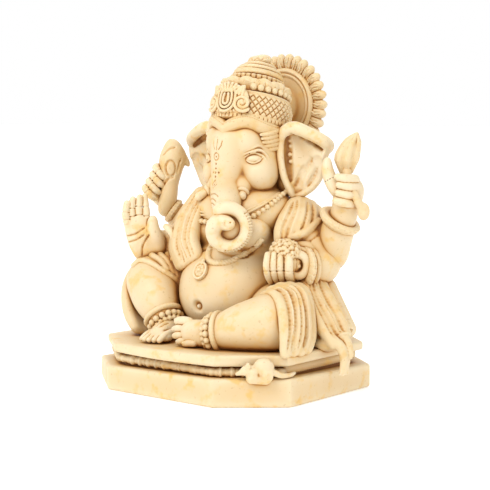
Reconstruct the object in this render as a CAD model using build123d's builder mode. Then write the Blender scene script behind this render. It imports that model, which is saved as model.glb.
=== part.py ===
"""Seated four-armed elephant-headed idol on a cut-corner plinth.

One resin casting, modelled as the separate sculpted forms it is made up of. The front faces
-Y, +X is the figure's own left, +Z is up, and the origin is the middle of the plinth's underside.
Every form is cut back to the faces of the forms made before it, so neighbours meet face to face.
"""

import os
from math import cos, pi, sin, sqrt

from build123d import *

os.makedirs("parts", exist_ok=True)

# ---------------------------------------------------------------- driving dimensions (mm)
plinth_width = 91.5
plinth_depth = 82.4
plinth_height = 10.0
corner_cut_x = 20.8
corner_cut_y = 17.5
plinth_edge_radius = 1.2

recess_height = 4.2
recess_inset = 6.0
slab_thickness = 3.3
slab_inset = 2.4
slab_front_bow = 1.6
slab_edge_radius = 1.0
recess_mid = plinth_height + recess_height / 2
moulding_radius, moulding_end_radius = 1.9, 1.7
rope_bead_radius, rope_bead_length, rope_gap = 1.35, 0.9, 0.15
rope_stand_out = 0.8  # how far the middle of the rope stands out of the recess

belly_centre, belly_radius, belly_half_height = (0, 1, 36.5), 20.5, 17.0
hips_centre, hips_radius, hips_half_height = (0, 9, 27), 24.0, 13.0
chest_centre, chest_radius, chest_half_height = (0, 7.5, 56), 18.5, 12.5
head_centre, head_radius, head_half_height = (0, 6, 82), 14.0, 15.0

crown_base, crown_top = (0, 8.0, 92.5), (0, 15.5, 121.5)
brim_radius, band_radius, lower_tier_radius, upper_tier_radius = 14.6, 14.8, 12.0, 9.4
finial_radius = 3.7
halo_radius, halo_plate_radius, halo_thickness = 17.4, 12.4, 4.0
halo_centre = (0, 31, 102)
halo_stem_radius, halo_stem_reach = 7.6, 9.0
petal_count = 30
petal_fill = 0.86  # share of the rim that the petals cover, the rest is the gaps between them

bracelet_thickness, bracelet_clearance = 1.5, 0.7
anklet_thickness, anklet_clearance = 1.4, 1.95
anklet_rise = 1.3  # how far above the ankle joint the anklet lies
necklace_radius, necklace_thickness = 14.6, 1.25
cord_radius = 1.3
ear_thickness, ear_edge_radius = 3.2, 1.0
finger_spreads = (-1.5, -0.5, 0.5, 1.5)  # the four fingers, in finger widths from the middle
toe_count, toe_pitch = 5, 1.7
smallest_solid = 0.05  # mm3, below which an offcut is dropped
seam_turn = 37 * pi / 180  # turns the seams of round forms off the planes of symmetry
pole_angle = 84  # degrees, where a spheroid ends in a small flat instead of a point
joint_step = 0.96  # a limb starts this much narrower than the joint that it leaves

finished = []


# ---------------------------------------------------------------- shared shapes
def along(start, end):
    """Plane at start whose Y axis points to end, and the distance between them."""
    span = Vector(*end) - Vector(*start)
    rise = span.normalized()
    reference = Vector(0, 1, 0) if abs(rise.Y) < 0.9 else Vector(1, 0, 0)
    side = reference.cross(rise).normalized()
    side = side * cos(seam_turn) + rise.cross(side) * sin(seam_turn)
    return Plane(origin=start, x_dir=side, z_dir=side.cross(rise)), span.length


def bone(start, end, start_radius, end_radius, mode=Mode.ADD):
    """Round-ended tapering limb turned about the line from start to end."""
    plane, length = along(start, end)
    diagonal = sqrt(0.5)
    with BuildSketch(plane) as profile:
        with BuildLine():
            ThreePointArc(
                (0, -start_radius),
                (start_radius * diagonal, -start_radius * diagonal),
                (start_radius, 0),
            )
            Line((start_radius, 0), (end_radius, length))
            ThreePointArc(
                (end_radius, length),
                (end_radius * diagonal, length + end_radius * diagonal),
                (0, length + end_radius),
            )
            Line((0, length + end_radius), (0, -start_radius))
        make_face()
    revolve(profile.sketch, axis=Axis(plane.origin, plane.y_dir), mode=mode)


def chain(joints, mode=Mode.ADD):
    """Bones through a list of (point, radius) joints."""
    for (start, start_radius), (end, end_radius) in zip(joints, joints[1:]):
        bone(start, end, start_radius * joint_step, end_radius, mode)


def spheroid(centre, radius, half_height, mode=Mode.ADD):
    """Ellipse turned about the vertical through its centre."""
    plane, _ = along(centre, tuple(Vector(*centre) + Vector(0, 0, 1)))
    with BuildSketch(plane) as profile:
        with BuildLine():
            bulge = EllipticalCenterArc(
                (0, 0), radius, half_height, start_angle=-pole_angle, arc_size=2 * pole_angle
            )
            low, high = bulge @ 0, bulge @ 1
            Polyline(high, (0, high.Y), (0, low.Y), low)
        make_face()
    revolve(profile.sketch, axis=Axis(plane.origin, plane.y_dir), mode=mode)


def turned(base, top, outline):
    """Solid turned about the line from base to top; outline is (radius, height) points."""
    plane, _ = along(base, top)
    with BuildSketch(plane) as profile:
        with BuildLine():
            Polyline((0, outline[0][1]), *outline, (0, outline[-1][1]), close=True)
        make_face()
    revolve(profile.sketch, axis=Axis(plane.origin, plane.y_dir))


def ring(centre, normal, ring_radius, wire_radius):
    """Round bracelet, anklet or coil about a centre."""
    plane, _ = along(centre, tuple(Vector(*centre) + Vector(*normal)))
    with BuildSketch(plane) as section:
        with Locations((ring_radius, 0)):
            Circle(wire_radius)
    revolve(section.sketch, axis=Axis(plane.origin, plane.y_dir))


def cut_corner_outline(inset, front_bow=0.0):
    """Rectangle with cut corners, set in from the plinth's outline, its front edge bowed out."""
    half_x, half_y = plinth_width / 2 - inset, plinth_depth / 2 - inset
    side_y, front_x = half_y - corner_cut_y + inset * 0.3, half_x - corner_cut_x + inset * 0.3
    with BuildLine() as outline:
        if front_bow:
            ThreePointArc((-front_x, -half_y), (0, -half_y - front_bow), (front_x, -half_y))
        else:
            Line((-front_x, -half_y), (front_x, -half_y))
        Polyline(
            (front_x, -half_y),
            (half_x, -side_y),
            (half_x, side_y),
            (front_x, half_y),
            (-front_x, half_y),
            (-half_x, side_y),
            (-half_x, -side_y),
            (-front_x, -half_y),
        )
    make_face(outline.edges())


def boxes_meet(a, b):
    """True where two boxes overlap."""
    return (
        a.min.X < b.max.X and b.min.X < a.max.X
        and a.min.Y < b.max.Y and b.min.Y < a.max.Y
        and a.min.Z < b.max.Z and b.min.Z < a.max.Z
    )


def fit_to_neighbours(piece, solids=1):
    """Cut the piece back to the faces of those made before it and keep its main solids."""
    box = piece.part.bounding_box(optimal=False)
    for other, other_box in finished:
        if boxes_meet(box, other_box):
            add(other, mode=Mode.SUBTRACT, clean=False)
    kept = [s for s in piece.part.solids().sort_by(SortBy.VOLUME) if s.volume > smallest_solid]
    add(kept[-solids:] if solids else kept, mode=Mode.REPLACE, clean=False)
    for solid in piece.part.solids():
        finished.append((solid, solid.bounding_box(optimal=False)))


def save(piece, label):
    """Label a finished piece and write it."""
    piece.part.label = label
    export_step(piece.part, f"parts/{label}.step")


# ---------------------------------------------------------------- base
with BuildPart() as base_plinth:
    with BuildSketch():
        cut_corner_outline(0)
    extrude(amount=plinth_height)
    fillet(base_plinth.faces().sort_by(Axis.Z)[-1].edges(), plinth_edge_radius)
    fit_to_neighbours(base_plinth)
save(base_plinth, "base_plinth")

with BuildPart() as seat_core:
    with BuildSketch(Plane.XY.offset(plinth_height)):
        cut_corner_outline(recess_inset)
    extrude(amount=recess_height)
    fit_to_neighbours(seat_core)
save(seat_core, "seat_core")

with BuildPart() as seat_slab:
    with BuildSketch(Plane.XY.offset(plinth_height + recess_height)):
        cut_corner_outline(slab_inset, slab_front_bow)
    extrude(amount=slab_thickness)
    fillet(seat_slab.faces().sort_by(Axis.Z)[-1].edges(), slab_edge_radius)
    fit_to_neighbours(seat_slab)
save(seat_slab, "seat_slab")

recess_x = plinth_width / 2 - recess_inset
recess_y = plinth_depth / 2 - recess_inset
with BuildPart() as reeded_moulding:
    front_half = recess_x - corner_cut_x
    for end in (-1, 1):
        for side in (-1, 1):
            bone(
                (0, end * recess_y, recess_mid),
                (side * front_half, end * recess_y, recess_mid),
                moulding_radius,
                moulding_end_radius,
            )
    fit_to_neighbours(reeded_moulding, solids=2)
save(reeded_moulding, "reeded_moulding")

with BuildPart() as rope_moulding:
    side_half = recess_y - corner_cut_y
    rope_pitch = rope_bead_length + 2 * rope_bead_radius + rope_gap
    rope_count = int(2 * side_half / rope_pitch)
    for side in (-1, 1):
        rope_x = side * (recess_x + rope_stand_out)
        for step in range(rope_count):
            middle_y = (step - (rope_count - 1) / 2) * rope_pitch
            bone(
                (rope_x, middle_y - rope_bead_length / 2, recess_mid),
                (rope_x, middle_y + rope_bead_length / 2, recess_mid),
                rope_bead_radius,
                rope_bead_radius,
            )
    fit_to_neighbours(rope_moulding, solids=None)
save(rope_moulding, "rope_moulding")

# ---------------------------------------------------------------- torso
with BuildPart() as belly:
    spheroid(belly_centre, belly_radius, belly_half_height)
    fit_to_neighbours(belly)
save(belly, "belly")

with BuildPart() as dhoti_hips:
    spheroid(hips_centre, hips_radius, hips_half_height)
    fit_to_neighbours(dhoti_hips)
save(dhoti_hips, "dhoti_hips")

with BuildPart() as chest:
    spheroid(chest_centre, chest_radius, chest_half_height)
    for side in (-1, 1):
        spheroid((side * 8.5, -2.0, 57), 8.5, 7.5)
    fit_to_neighbours(chest)
save(chest, "chest")

# ---------------------------------------------------------------- head
with BuildPart() as head:
    spheroid(head_centre, head_radius, head_half_height)
    for side in (-1, 1):
        bone((side * 4.5, 0, 87), (side * 5, 1, 78), 6.5, 6.0)
    fit_to_neighbours(head)
save(head, "head")

with BuildPart() as neck:
    bone((0, 9, 64), (0, 9, 72), 11, 10)
    fit_to_neighbours(neck)
save(neck, "neck")

trunk_path = [
    ((0, -2.0, 85), 6.8),
    ((0, -4.5, 77), 6.4),
    ((0.5, -8.0, 70), 5.6),
    ((2.5, -12.0, 64.5), 4.6),
]
coil_centre, coil_normal, coil_radius, coil_wire = (10, -15.0, 59), (0.2, -1, 0), 6.2, 3.5
with BuildPart() as trunk:
    chain(trunk_path)
    fit_to_neighbours(trunk)
save(trunk, "trunk")

with BuildPart() as trunk_coil:
    ring(coil_centre, coil_normal, coil_radius, coil_wire)
    fit_to_neighbours(trunk_coil)
save(trunk_coil, "trunk_coil")

with BuildPart() as trunk_tip:
    bone((6.5, -16.6, 60.5), (10.5, -17.2, 60.8), 1.7, 2.2)
    fit_to_neighbours(trunk_tip)
save(trunk_tip, "trunk_tip")

for name, side, reach in (("right", -1, 5.0), ("left", 1, 3.5)):
    with BuildPart() as tusk:
        bone((side * 6.5, -1.5, 73), (side * 7.5, -1.5 - reach, 71.5), 2.6, 1.6)
        fit_to_neighbours(tusk)
    save(tusk, f"{name}_tusk")


def ear_outline():
    """Fan of the figure's left ear in its own plane: X outward from the temple, Y up."""
    with BuildLine() as outline:
        Spline((0, 11), (6, 15.5), (17, 13), (22, 8), (19, -1), (14, -8), (6, -12), (0, -6))
        Line((0, -6), (0, 11))
    make_face(outline.edges())


for name, side in (("right", -1), ("left", 1)):
    ear_plane = Plane(
        origin=(side * 12.5, 10, 81.5), x_dir=(side * 0.97, 0.24, 0), z_dir=(0.24, -side * 0.97, 0)
    )
    with BuildPart() as ear:
        with BuildSketch(ear_plane):
            ear_outline()
        extrude(amount=ear_thickness / 2, both=True)
        front_edges = ear.faces().sort_by(Axis.Y)[0].edges()
        fillet(front_edges.sort_by(SortBy.LENGTH)[-1:], ear_edge_radius)
        fit_to_neighbours(ear)
    save(ear, f"{name}_ear")

    with BuildPart() as temple_curls:
        for step in range(3):
            sweep_y, level = 4.5 + 3.2 * step, 92.5 - 2.6 * step
            bone(
                (side * 12.3, sweep_y, level), (side * 13.6, sweep_y + 0.7, level - 4.2), 2.3, 1.7
            )
        fit_to_neighbours(temple_curls)
    save(temple_curls, f"{name}_temple_curls")

# ---------------------------------------------------------------- crown
crown_plane, crown_height = along(crown_base, crown_top)
crown_rise = crown_plane.y_dir


def on_crown(radius, level, angle):
    """Point on the crown at a radius, a height up its axis and an angle from its front."""
    forward = crown_rise.cross(Vector(1, 0, 0))
    return (
        Vector(*crown_base)
        + crown_rise * level
        + Vector(1, 0, 0) * (radius * sin(angle))
        - forward * (radius * cos(angle))
    )


with BuildPart() as crown_brim:
    turned(crown_base, crown_top, [(13.2, -1.5), (brim_radius, 0), (brim_radius, 2.4), (13.6, 3.4)])
    fit_to_neighbours(crown_brim)
save(crown_brim, "crown_brim")

with BuildPart() as crown_lattice_band:
    turned(
        crown_base, crown_top, [(13.4, 3.4), (band_radius, 6), (band_radius, 9), (12.8, 12.2)]
    )
    fit_to_neighbours(crown_lattice_band)
save(crown_lattice_band, "crown_lattice_band")

with BuildPart() as crown_lower_tier:
    turned(crown_base, crown_top, [(11.0, 12.2), (lower_tier_radius, 14), (10.6, 17.4)])
    fit_to_neighbours(crown_lower_tier)
save(crown_lower_tier, "crown_lower_tier")

with BuildPart() as crown_upper_tier:
    turned(
        crown_base,
        crown_top,
        [(8.6, 17.4), (upper_tier_radius, 19), (upper_tier_radius - 1.4, 21), (5.2, 24.4)],
    )
    fit_to_neighbours(crown_upper_tier)
save(crown_upper_tier, "crown_upper_tier")

with BuildPart() as finial:
    turned(
        crown_base,
        crown_top,
        [(2.6, 24.4), (2.2, 25.2), (finial_radius, 26.4), (finial_radius, 28), (1.8, 29.8)],
    )
    fit_to_neighbours(finial)
save(finial, "finial")

# Rows of pearls lie against the band and the lower tier, clear of the crest and the halo's stem.
pearl_rows = ((band_radius + 0.4, 4.5, 1.0, 12), (lower_tier_radius + 1.2, 13.7, 1.1, 10))
pearls_from, pearls_to = 30 * pi / 180, 125 * pi / 180
with BuildPart() as crown_pearls:
    for row_radius, level, pearl_radius, count in pearl_rows:
        turns = [pearls_from + (pearls_to - pearls_from) * n / (count - 1) for n in range(count)]
        spots = [on_crown(row_radius, level, side * turn) for turn in turns for side in (-1, 1)]
        with Locations(*spots):
            Sphere(pearl_radius)
    fit_to_neighbours(crown_pearls, solids=None)
save(crown_pearls, "crown_pearls")

with BuildPart() as crown_crest:
    crest_back = on_crown(band_radius - 3.0, 9.5, 0)
    crest_face = Plane(origin=crest_back, x_dir=(1, 0, 0), z_dir=-crown_rise.cross(Vector(1, 0, 0)))
    with BuildSketch(crest_face):
        Circle(5.6)
        with PolarLocations(5.2, 8):
            Circle(1.5)
    extrude(amount=4.6)
    fit_to_neighbours(crown_crest)
save(crown_crest, "crown_crest")

# ---------------------------------------------------------------- halo
halo_front = Plane(origin=halo_centre, x_dir=(1, 0, 0), z_dir=(0, -1, 0))
with BuildPart() as halo_plate:
    with BuildSketch(halo_front):
        Circle(halo_plate_radius)
    extrude(amount=halo_thickness / 2, both=True)
    with BuildSketch(halo_front):
        Circle(halo_stem_radius)
    extrude(amount=halo_stem_reach)
    fit_to_neighbours(halo_plate)
save(halo_plate, "halo_plate")

with BuildPart() as halo_petals:
    petal_reach = halo_radius - halo_plate_radius
    petal_width = 2 * pi * (halo_radius - petal_reach / 2) / petal_count * petal_fill
    with BuildSketch(halo_front):
        with PolarLocations(halo_plate_radius + petal_reach / 2 - 0.4, petal_count):
            SlotOverall(petal_reach + 0.8, petal_width)
    extrude(amount=halo_thickness / 2 - 0.4, both=True)
    fit_to_neighbours(halo_petals, solids=None)
save(halo_petals, "halo_petals")

# ---------------------------------------------------------------- arms
# Joints of the figure's four arms: shoulder, elbow and wrist, each with its radius.
arm_joints = {
    "right_front": [((-22, 9, 58), 7.0), ((-29, 9, 46.5), 5.6), ((-32.5, -2, 50), 3.6)],
    "right_rear": [((-23, 14, 60), 6.5), ((-37, 13, 48), 5.2), ((-41, 9.5, 62), 3.6)],
    "left_front": [((22, 9, 58), 7.0), ((31.5, 13, 44.5), 6.0), ((31, 6, 43.5), 4.2)],
    "left_rear": [((23, 15, 60), 6.5), ((35.5, 16, 47), 5.4), ((40, 14.5, 61.5), 3.9)],
}
for name, joints in arm_joints.items():
    with BuildPart() as arm:
        chain(joints)
        fit_to_neighbours(arm)
    save(arm, f"{name}_arm")

for name, joints in arm_joints.items():
    (elbow, _), (wrist, wrist_radius) = joints[1:]
    reach = Vector(*wrist) - Vector(*elbow)
    with BuildPart() as cuff:
        bracelet_radius = wrist_radius + bracelet_clearance
        ring(wrist, tuple(reach.normalized()), bracelet_radius, bracelet_thickness)
        fit_to_neighbours(cuff)
    save(cuff, f"{name}_cuff")

# ---------------------------------------------------------------- held things
with BuildPart() as axe:
    bone((-38.3, 8.5, 66), (-37.5, 8, 78), 1.9, 2.4)
    chain([((-37.5, 8, 77), 4.2), ((-36.8, 8, 82), 5.0), ((-37.5, 7.5, 85.5), 3.2)])
    fit_to_neighbours(axe)
save(axe, "axe")

bud_outline = [(1.8, 0), (4.0, 2.5), (4.5, 5.0), (3.0, 8.5), (0.6, 11.6)]
with BuildPart() as lotus:
    bone((49, 14, 64), (43.6, 14, 82), 1.5, 1.7)
    turned((43.2, 14, 81.5), (46.3, 14.5, 93), bud_outline)
    fit_to_neighbours(lotus)
save(lotus, "lotus")

with BuildPart() as sweet_bowl:
    turned((27, 0.5, 43), (27, 0.5, 50), [(4.6, 0), (7.2, 2.2), (8.0, 4.6)])
    fit_to_neighbours(sweet_bowl)
save(sweet_bowl, "sweet_bowl")

with BuildPart() as sweets:
    bone((27, 0.5, 48.0), (27, 0.5, 49.5), 6.0, 5.2)
    fit_to_neighbours(sweets)
save(sweets, "sweets")

# ---------------------------------------------------------------- hands
with BuildPart() as right_front_hand:
    bone((-33.8, -5.2, 51), (-35.8, -8.5, 58), 4.2, 4.8)
    for spread in finger_spreads:
        tip_height = 70.0 - 1.6 * abs(spread - 0.2)
        bone(
            (-35.8 + spread * 3.0, -8.6, 59.5),
            (-36.4 + spread * 3.4, -10.0, tip_height - 1.6),
            1.9,
            1.6,
        )
    bone((-31.5, -7.5, 54), (-28.0, -9.5, 60.5), 2.0, 1.6)
    fit_to_neighbours(right_front_hand)
save(right_front_hand, "right_front_hand")

with BuildPart() as right_rear_hand:
    bone((-41.6, 9, 64.5), (-42, 8.5, 72), 4.2, 4.6)
    for level in (68.0, 70.8, 73.6, 76.2):
        bone((-45.0, 6.5, level), (-39.5, 2.6, level + 1.0), 1.8, 1.5)
    fit_to_neighbours(right_rear_hand)
save(right_rear_hand, "right_rear_hand")

with BuildPart() as left_rear_hand:
    bone((40.6, 14.2, 64), (42.5, 14, 73), 4.4, 5.0)
    for level in (67.0, 70.2, 73.4, 76.6):
        bone((47.5, 12.5, level), (42.5, 8.8, level + 1.0), 1.9, 1.6)
    bone((40, 13, 77), (34.5, 12.5, 84), 2.0, 1.4)
    fit_to_neighbours(left_rear_hand)
save(left_rear_hand, "left_rear_hand")

with BuildPart() as left_front_hand:
    bone((30.5, 4.5, 42.5), (25, -1, 40.5), 4.6, 4.8)
    for spread in finger_spreads:
        bone(
            (22.5 + spread * 2.0, -2.4 - spread * 2.2, 41),
            (19.8 + spread * 2.0, -5.4 - spread * 2.2, 43.5),
            1.8,
            1.5,
        )
    fit_to_neighbours(left_front_hand)
save(left_front_hand, "left_front_hand")

# ---------------------------------------------------------------- legs
# Joints of the legs: hip, knee and ankle, each with its radius, then the heel and toes.
leg_joints = {
    "right": [((-13, 5, 30), 9.5), ((-33, -11, 37), 8.0), ((-16, -19.5, 23.5), 4.2)],
    "left": [((13, 5, 28), 9.5), ((34, -13, 26.5), 8.6), ((12.5, -24.4, 22.2), 4.2)],
}
feet = {
    "right": [((-14.2, -20.5, 21.0), 3.4), ((-14.0, -28, 20.5), 3.2)],
    "left": [((9.0, -26.2, 21.0), 3.4), ((0.0, -27.2, 20.8), 3.0)],
}
toe_directions = {"right": (0, -1, 0), "left": (-1, -0.1, 0)}

for name, joints in leg_joints.items():
    with BuildPart() as leg:
        chain(joints)
        fit_to_neighbours(leg)
    save(leg, f"{name}_leg")

for name, foot_joints in feet.items():
    forward = Vector(*toe_directions[name]).normalized()
    across = Vector(0, 0, 1).cross(forward)
    ball = Vector(*foot_joints[1][0])
    with BuildPart() as foot:
        chain(foot_joints)
        for toe in range(toe_count):
            root = ball + across * (toe_pitch * (toe - toe_count // 2)) - Vector(0, 0, 1.2)
            bone(tuple(root), tuple(root + forward * (4.6 - 0.5 * toe)), 1.5, 1.2)
        fit_to_neighbours(foot)
    save(foot, f"{name}_foot")

for name, joints in leg_joints.items():
    (knee, _), (ankle, ankle_radius) = joints[1:]
    shin_line = (Vector(*ankle) - Vector(*knee)).normalized()
    with BuildPart() as anklet:
        above_ankle = Vector(*ankle) - shin_line * anklet_rise
        anklet_radius = ankle_radius + anklet_clearance
        ring(tuple(above_ankle), tuple(shin_line), anklet_radius, anklet_thickness)
        fit_to_neighbours(anklet)
    save(anklet, f"{name}_anklet")

# ---------------------------------------------------------------- drapery
drapes = {
    "right_knee_drape": [((-38, -6, 36), 4.5), ((-39, -17, 31), 3.8), ((-35, -22, 21.5), 3.2)],
    "left_knee_drape": [((38, -4, 30), 5.5), ((41, -12, 25), 4.6), ((39.5, -18.5, 21), 3.2)],
    "right_shoulder_shawl": [((-17, 3, 66), 5.0), ((-20, -2, 56), 5.0), ((-20, -4, 46), 3.6)],
    "left_shoulder_shawl": [((17, 3, 66), 5.0), ((25, 3, 60), 5.0), ((30, 4, 52), 3.6)],
    "bolster_roll": [((33, 14, 37), 4.6), ((41.5, 13.5, 23.0), 4.8)],
    "hanging_shawl": [((33, 3, 36), 4.6), ((40, 1.5, 22.5), 4.6), ((45.2, 0, 13.0), 1.8)],
}
for name, folds in drapes.items():
    with BuildPart() as drape:
        chain(folds)
        fit_to_neighbours(drape)
    save(drape, name)

# ---------------------------------------------------------------- jewellery
with BuildPart() as bead_necklace:
    ring((0, 7.3, 66.4), (0, -0.31, 1), necklace_radius, necklace_thickness)
    fit_to_neighbours(bead_necklace)
save(bead_necklace, "bead_necklace")

with BuildPart() as chest_cord:
    for cord_path in (
        [(-17, -4, 56), (-8, -14.5, 49), (-1.5, -19.0, 44.5)],
        [(15.5, -6.5, 53), (8, -16.0, 48), (1.5, -19.0, 44.5)],
    ):
        chain([(point, cord_radius) for point in cord_path])
    fit_to_neighbours(chest_cord, solids=2)
save(chest_cord, "chest_cord")

with BuildPart() as pendant:
    bone((0, -17.5, 42.5), (0, -19.8, 42.3), 2.8, 2.8)
    fit_to_neighbours(pendant)
save(pendant, "pendant")

# ---------------------------------------------------------------- mouse
with BuildPart() as mouse:
    chain([((40.5, -29.5, 12.6), 2.6), ((37, -33, 13.4), 3.2), ((33.5, -36.2, 12.6), 1.8)])
    chain([((40.5, -28.5, 11.6), 1.0), ((43.0, -23, 11.2), 0.8), ((43.6, -17.5, 11.2), 0.6)])
    fit_to_neighbours(mouse)
save(mouse, "mouse")
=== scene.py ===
"""Looks of the elephant-headed idol: each CAD form is replaced by a sculpted form.

Every form is modelled as a signed distance field in millimetres on a shared voxel lattice,
twice as fine for the finely carved forms, then meshed, and coloured by how deep its surface
lies among its neighbours: the brown wash that antiqued resin holds in its fine crevices,
and painted shade in its wider hollows.
The front faces -Y, +X is the figure's own left and +Z is up, as in the CAD frame.
"""

import math

import bpy
import numpy as np
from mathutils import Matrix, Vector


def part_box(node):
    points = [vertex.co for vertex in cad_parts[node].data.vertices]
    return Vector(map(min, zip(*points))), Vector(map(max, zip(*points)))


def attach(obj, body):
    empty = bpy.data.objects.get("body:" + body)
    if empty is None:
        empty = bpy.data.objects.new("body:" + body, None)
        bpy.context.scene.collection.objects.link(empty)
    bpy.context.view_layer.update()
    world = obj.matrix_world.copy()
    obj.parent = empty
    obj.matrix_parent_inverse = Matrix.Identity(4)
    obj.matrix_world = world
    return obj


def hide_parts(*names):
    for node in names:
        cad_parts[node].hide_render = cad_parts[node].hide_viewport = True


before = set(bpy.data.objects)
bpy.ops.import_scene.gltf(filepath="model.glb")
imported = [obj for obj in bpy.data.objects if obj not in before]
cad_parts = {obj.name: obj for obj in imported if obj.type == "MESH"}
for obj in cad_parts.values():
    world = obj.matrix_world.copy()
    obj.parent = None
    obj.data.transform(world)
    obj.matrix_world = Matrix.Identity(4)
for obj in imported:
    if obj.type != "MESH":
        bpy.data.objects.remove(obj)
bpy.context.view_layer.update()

import openvdb
from mathutils import Vector

MM = 0.001
LATTICE = 0.4  # mm between voxels
FINE = 0.2  # mm between voxels of the finely carved forms
FAR = 3.0  # mm, distances are clipped here
QUARTER_TURN = 39.4  # degrees from the front towards the figure's left
VIEW_PITCH = 5.6  # degrees the camera looks down
VIEW_DISTANCE = 0.52  # m
VIEW_TARGET = (0.00348, 0.00286, 0.0514)  # m
VIEW_LENS, VIEW_SENSOR = 102.857, 36  # mm
LIGHT_TARGET = (0.003, 0.0, 0.055)  # m
LIGHTS = (  # name, degrees round from the front, degrees up, m away, m across, watts
    ("key", 0, 50, 0.75, 0.3, 2.7), ("fill", 85, 30, 0.9, 0.5, 0.5), ("rim", 215, 50, 0.9, 0.4, 1.2),
)
SHADED_TAN = (0.61, 0.395, 0.165, 1)
# Brown and dark wash colours: the real antiquing wash in fine crevices, and painted shade in wider hollows.
BROWN_WASH_AND_SHADE = (0.52, 0.27, 0.075, 1)
DARK_WASH_AND_SHADE = (0.29, 0.115, 0.025, 1)
SPECK_BROWN = (0.40, 0.24, 0.10, 1)
WORN_IVORY = (0.74, 0.65, 0.47, 1)


# ---------------------------------------------------------------- vectors and curves
def vec(*parts):
    return np.array(parts, float)


def unit(vector):
    vector = np.asarray(vector, float)
    return vector / np.linalg.norm(vector)


def limits(node):
    """Lowest and highest corners of a CAD node, in millimetres."""
    low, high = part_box(node)
    return np.array(low) / MM, np.array(high) / MM


def middle(node):
    low, high = limits(node)
    return (low + high) / 2


def curve(points, count):
    """Smooth path of count rows through the points; every column is carried along."""
    points = np.asarray(points, float)
    if len(points) == 2:
        return points[0] + (points[1] - points[0]) * np.linspace(0, 1, count)[:, None]
    padded = np.vstack([2 * points[0] - points[1], points, 2 * points[-1] - points[-2]])
    place = np.linspace(0, len(points) - 1, count)
    span = np.minimum(place.astype(int), len(points) - 2)
    t = (place - span)[:, None]
    a, b, c, d = (padded[span + i] for i in range(4))
    return 0.5 * (2 * b + (c - a) * t + (2 * a - 5 * b + 4 * c - d) * t**2
                  + (3 * b - a - 3 * c + d) * t**3)


def quarter(across, height, ahead):
    """Point given across and ahead of the upright plane that faces the figure's left quarter."""
    turn = math.radians(QUARTER_TURN)
    return vec(across * math.cos(turn) + ahead * math.sin(turn),
               across * math.sin(turn) - ahead * math.cos(turn), height)


def quartered(rows):
    """Rows of (across, height, ahead, radius) as rows of (x, y, z, radius)."""
    return [(*quarter(*row[:3]), *row[3:]) for row in rows]


def with_radius(points, radius):
    """Adds a radius column to a path of points."""
    radius = np.broadcast_to(np.asarray(radius, float), len(points))
    return np.column_stack([points, radius])


# ---------------------------------------------------------------- distance shapes
def soft_min(a, b, blend):
    if blend <= 0:
        return np.minimum(a, b)
    overlap = np.maximum(blend - np.abs(a - b), 0) / blend
    return np.minimum(a, b) - overlap * overlap * blend * 0.25


def ball(centre, radii, axes=np.eye(3)):
    """Ellipsoid; the rows of axes are the directions of its radii."""
    centre, radii, axes = np.asarray(centre, float), np.broadcast_to(radii, 3), np.asarray(axes)
    reach = np.sqrt(((radii[:, None] * axes) ** 2).sum(0))

    def distance(x, y, z):
        x, y, z = x - centre[0], y - centre[1], z - centre[2]
        near = far = 0
        for axis, radius in zip(axes, radii):
            along = (x * axis[0] + y * axis[1] + z * axis[2]) / radius
            near = near + along**2
            far = far + (along / radius) ** 2
        near = np.sqrt(near)
        return near * (near - 1) / np.maximum(np.sqrt(far), 1e-6)

    return centre - reach, centre + reach, distance


def limb(start, end, thin=1.0, face=None):
    """Round-ended taper between two (x, y, z, radius) rows, thinned along face by thin."""
    a, b, ra, rb = start[:3], end[:3], start[3], end[3]
    span = b - a
    length2 = max(float(span @ span), 1e-9)
    most = max(ra, rb)

    def distance(x, y, z):
        x, y, z = x - a[0], y - a[1], z - a[2]
        t = np.clip((x * span[0] + y * span[1] + z * span[2]) / length2, 0, 1)
        x, y, z = x - t * span[0], y - t * span[1], z - t * span[2]
        square = x * x + y * y + z * z
        if thin != 1.0:
            square = square + (thin * thin - 1) * (x * face[0] + y * face[1] + z * face[2]) ** 2
        return np.sqrt(square) - (ra + (rb - ra) * t)

    return np.minimum(a, b) - most, np.maximum(a, b) + most, distance


def polygon_distance(x, y, corners):
    """Signed distance in a plane to a closed polygon."""
    nearest, sign = None, 1.0
    for (ax, ay), (bx, by) in zip(corners, corners[1:] + corners[:1]):
        ex, ey = bx - ax, by - ay
        wx, wy = x - ax, y - ay
        t = np.clip((wx * ex + wy * ey) / (ex * ex + ey * ey), 0, 1)
        square = (wx - ex * t) ** 2 + (wy - ey * t) ** 2
        nearest = square if nearest is None else np.minimum(nearest, square)
        above, below, left = y >= ay, y < by, ex * wy > ey * wx
        crosses = (above & below & left) | (~above & ~below & ~left)
        sign = sign * np.where(crosses, -1.0, 1.0)
    return sign * np.sqrt(nearest)


def lathe(base, top, outline, carve=None, rounding=0.0, wave=None):
    """Solid turned about the line from base to top; carve(turn, rise) sinks its surface and
    wave(turn) lowers it.

    The outline is (radius, rise) corners; turn is the angle from the front towards +X.
    """
    base, axis = np.asarray(base, float), unit(np.asarray(top, float) - base)
    side = unit(np.cross(vec(0, 1, 0), axis)) if abs(axis[1]) < 0.9 else vec(1, 0, 0)
    front = np.cross(side, axis)
    widest = max(r for r, _ in outline) + rounding
    rises = [h for _, h in outline]
    corners = [(0.0, rises[0])] + [tuple(map(float, c)) for c in outline] + [(0.0, rises[-1])]
    spare = rounding + (3.0 if wave else 0.0)
    ends = np.array([base + axis * (min(rises) - spare), base + axis * (max(rises) + spare)])

    def distance(x, y, z):
        x, y, z = x - base[0], y - base[1], z - base[2]
        rise = x * axis[0] + y * axis[1] + z * axis[2]
        across = x * side[0] + y * side[1] + z * side[2]
        ahead = x * front[0] + y * front[1] + z * front[2]
        radius = np.sqrt(across**2 + ahead**2)
        turn = np.arctan2(across, ahead)
        if wave is not None:
            rise = rise + wave(turn)
        if carve is not None:
            radius = radius + carve(turn, rise)
        return polygon_distance(radius, rise, corners) - rounding

    return ends.min(0) - widest, ends.max(0) + widest, distance


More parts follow.
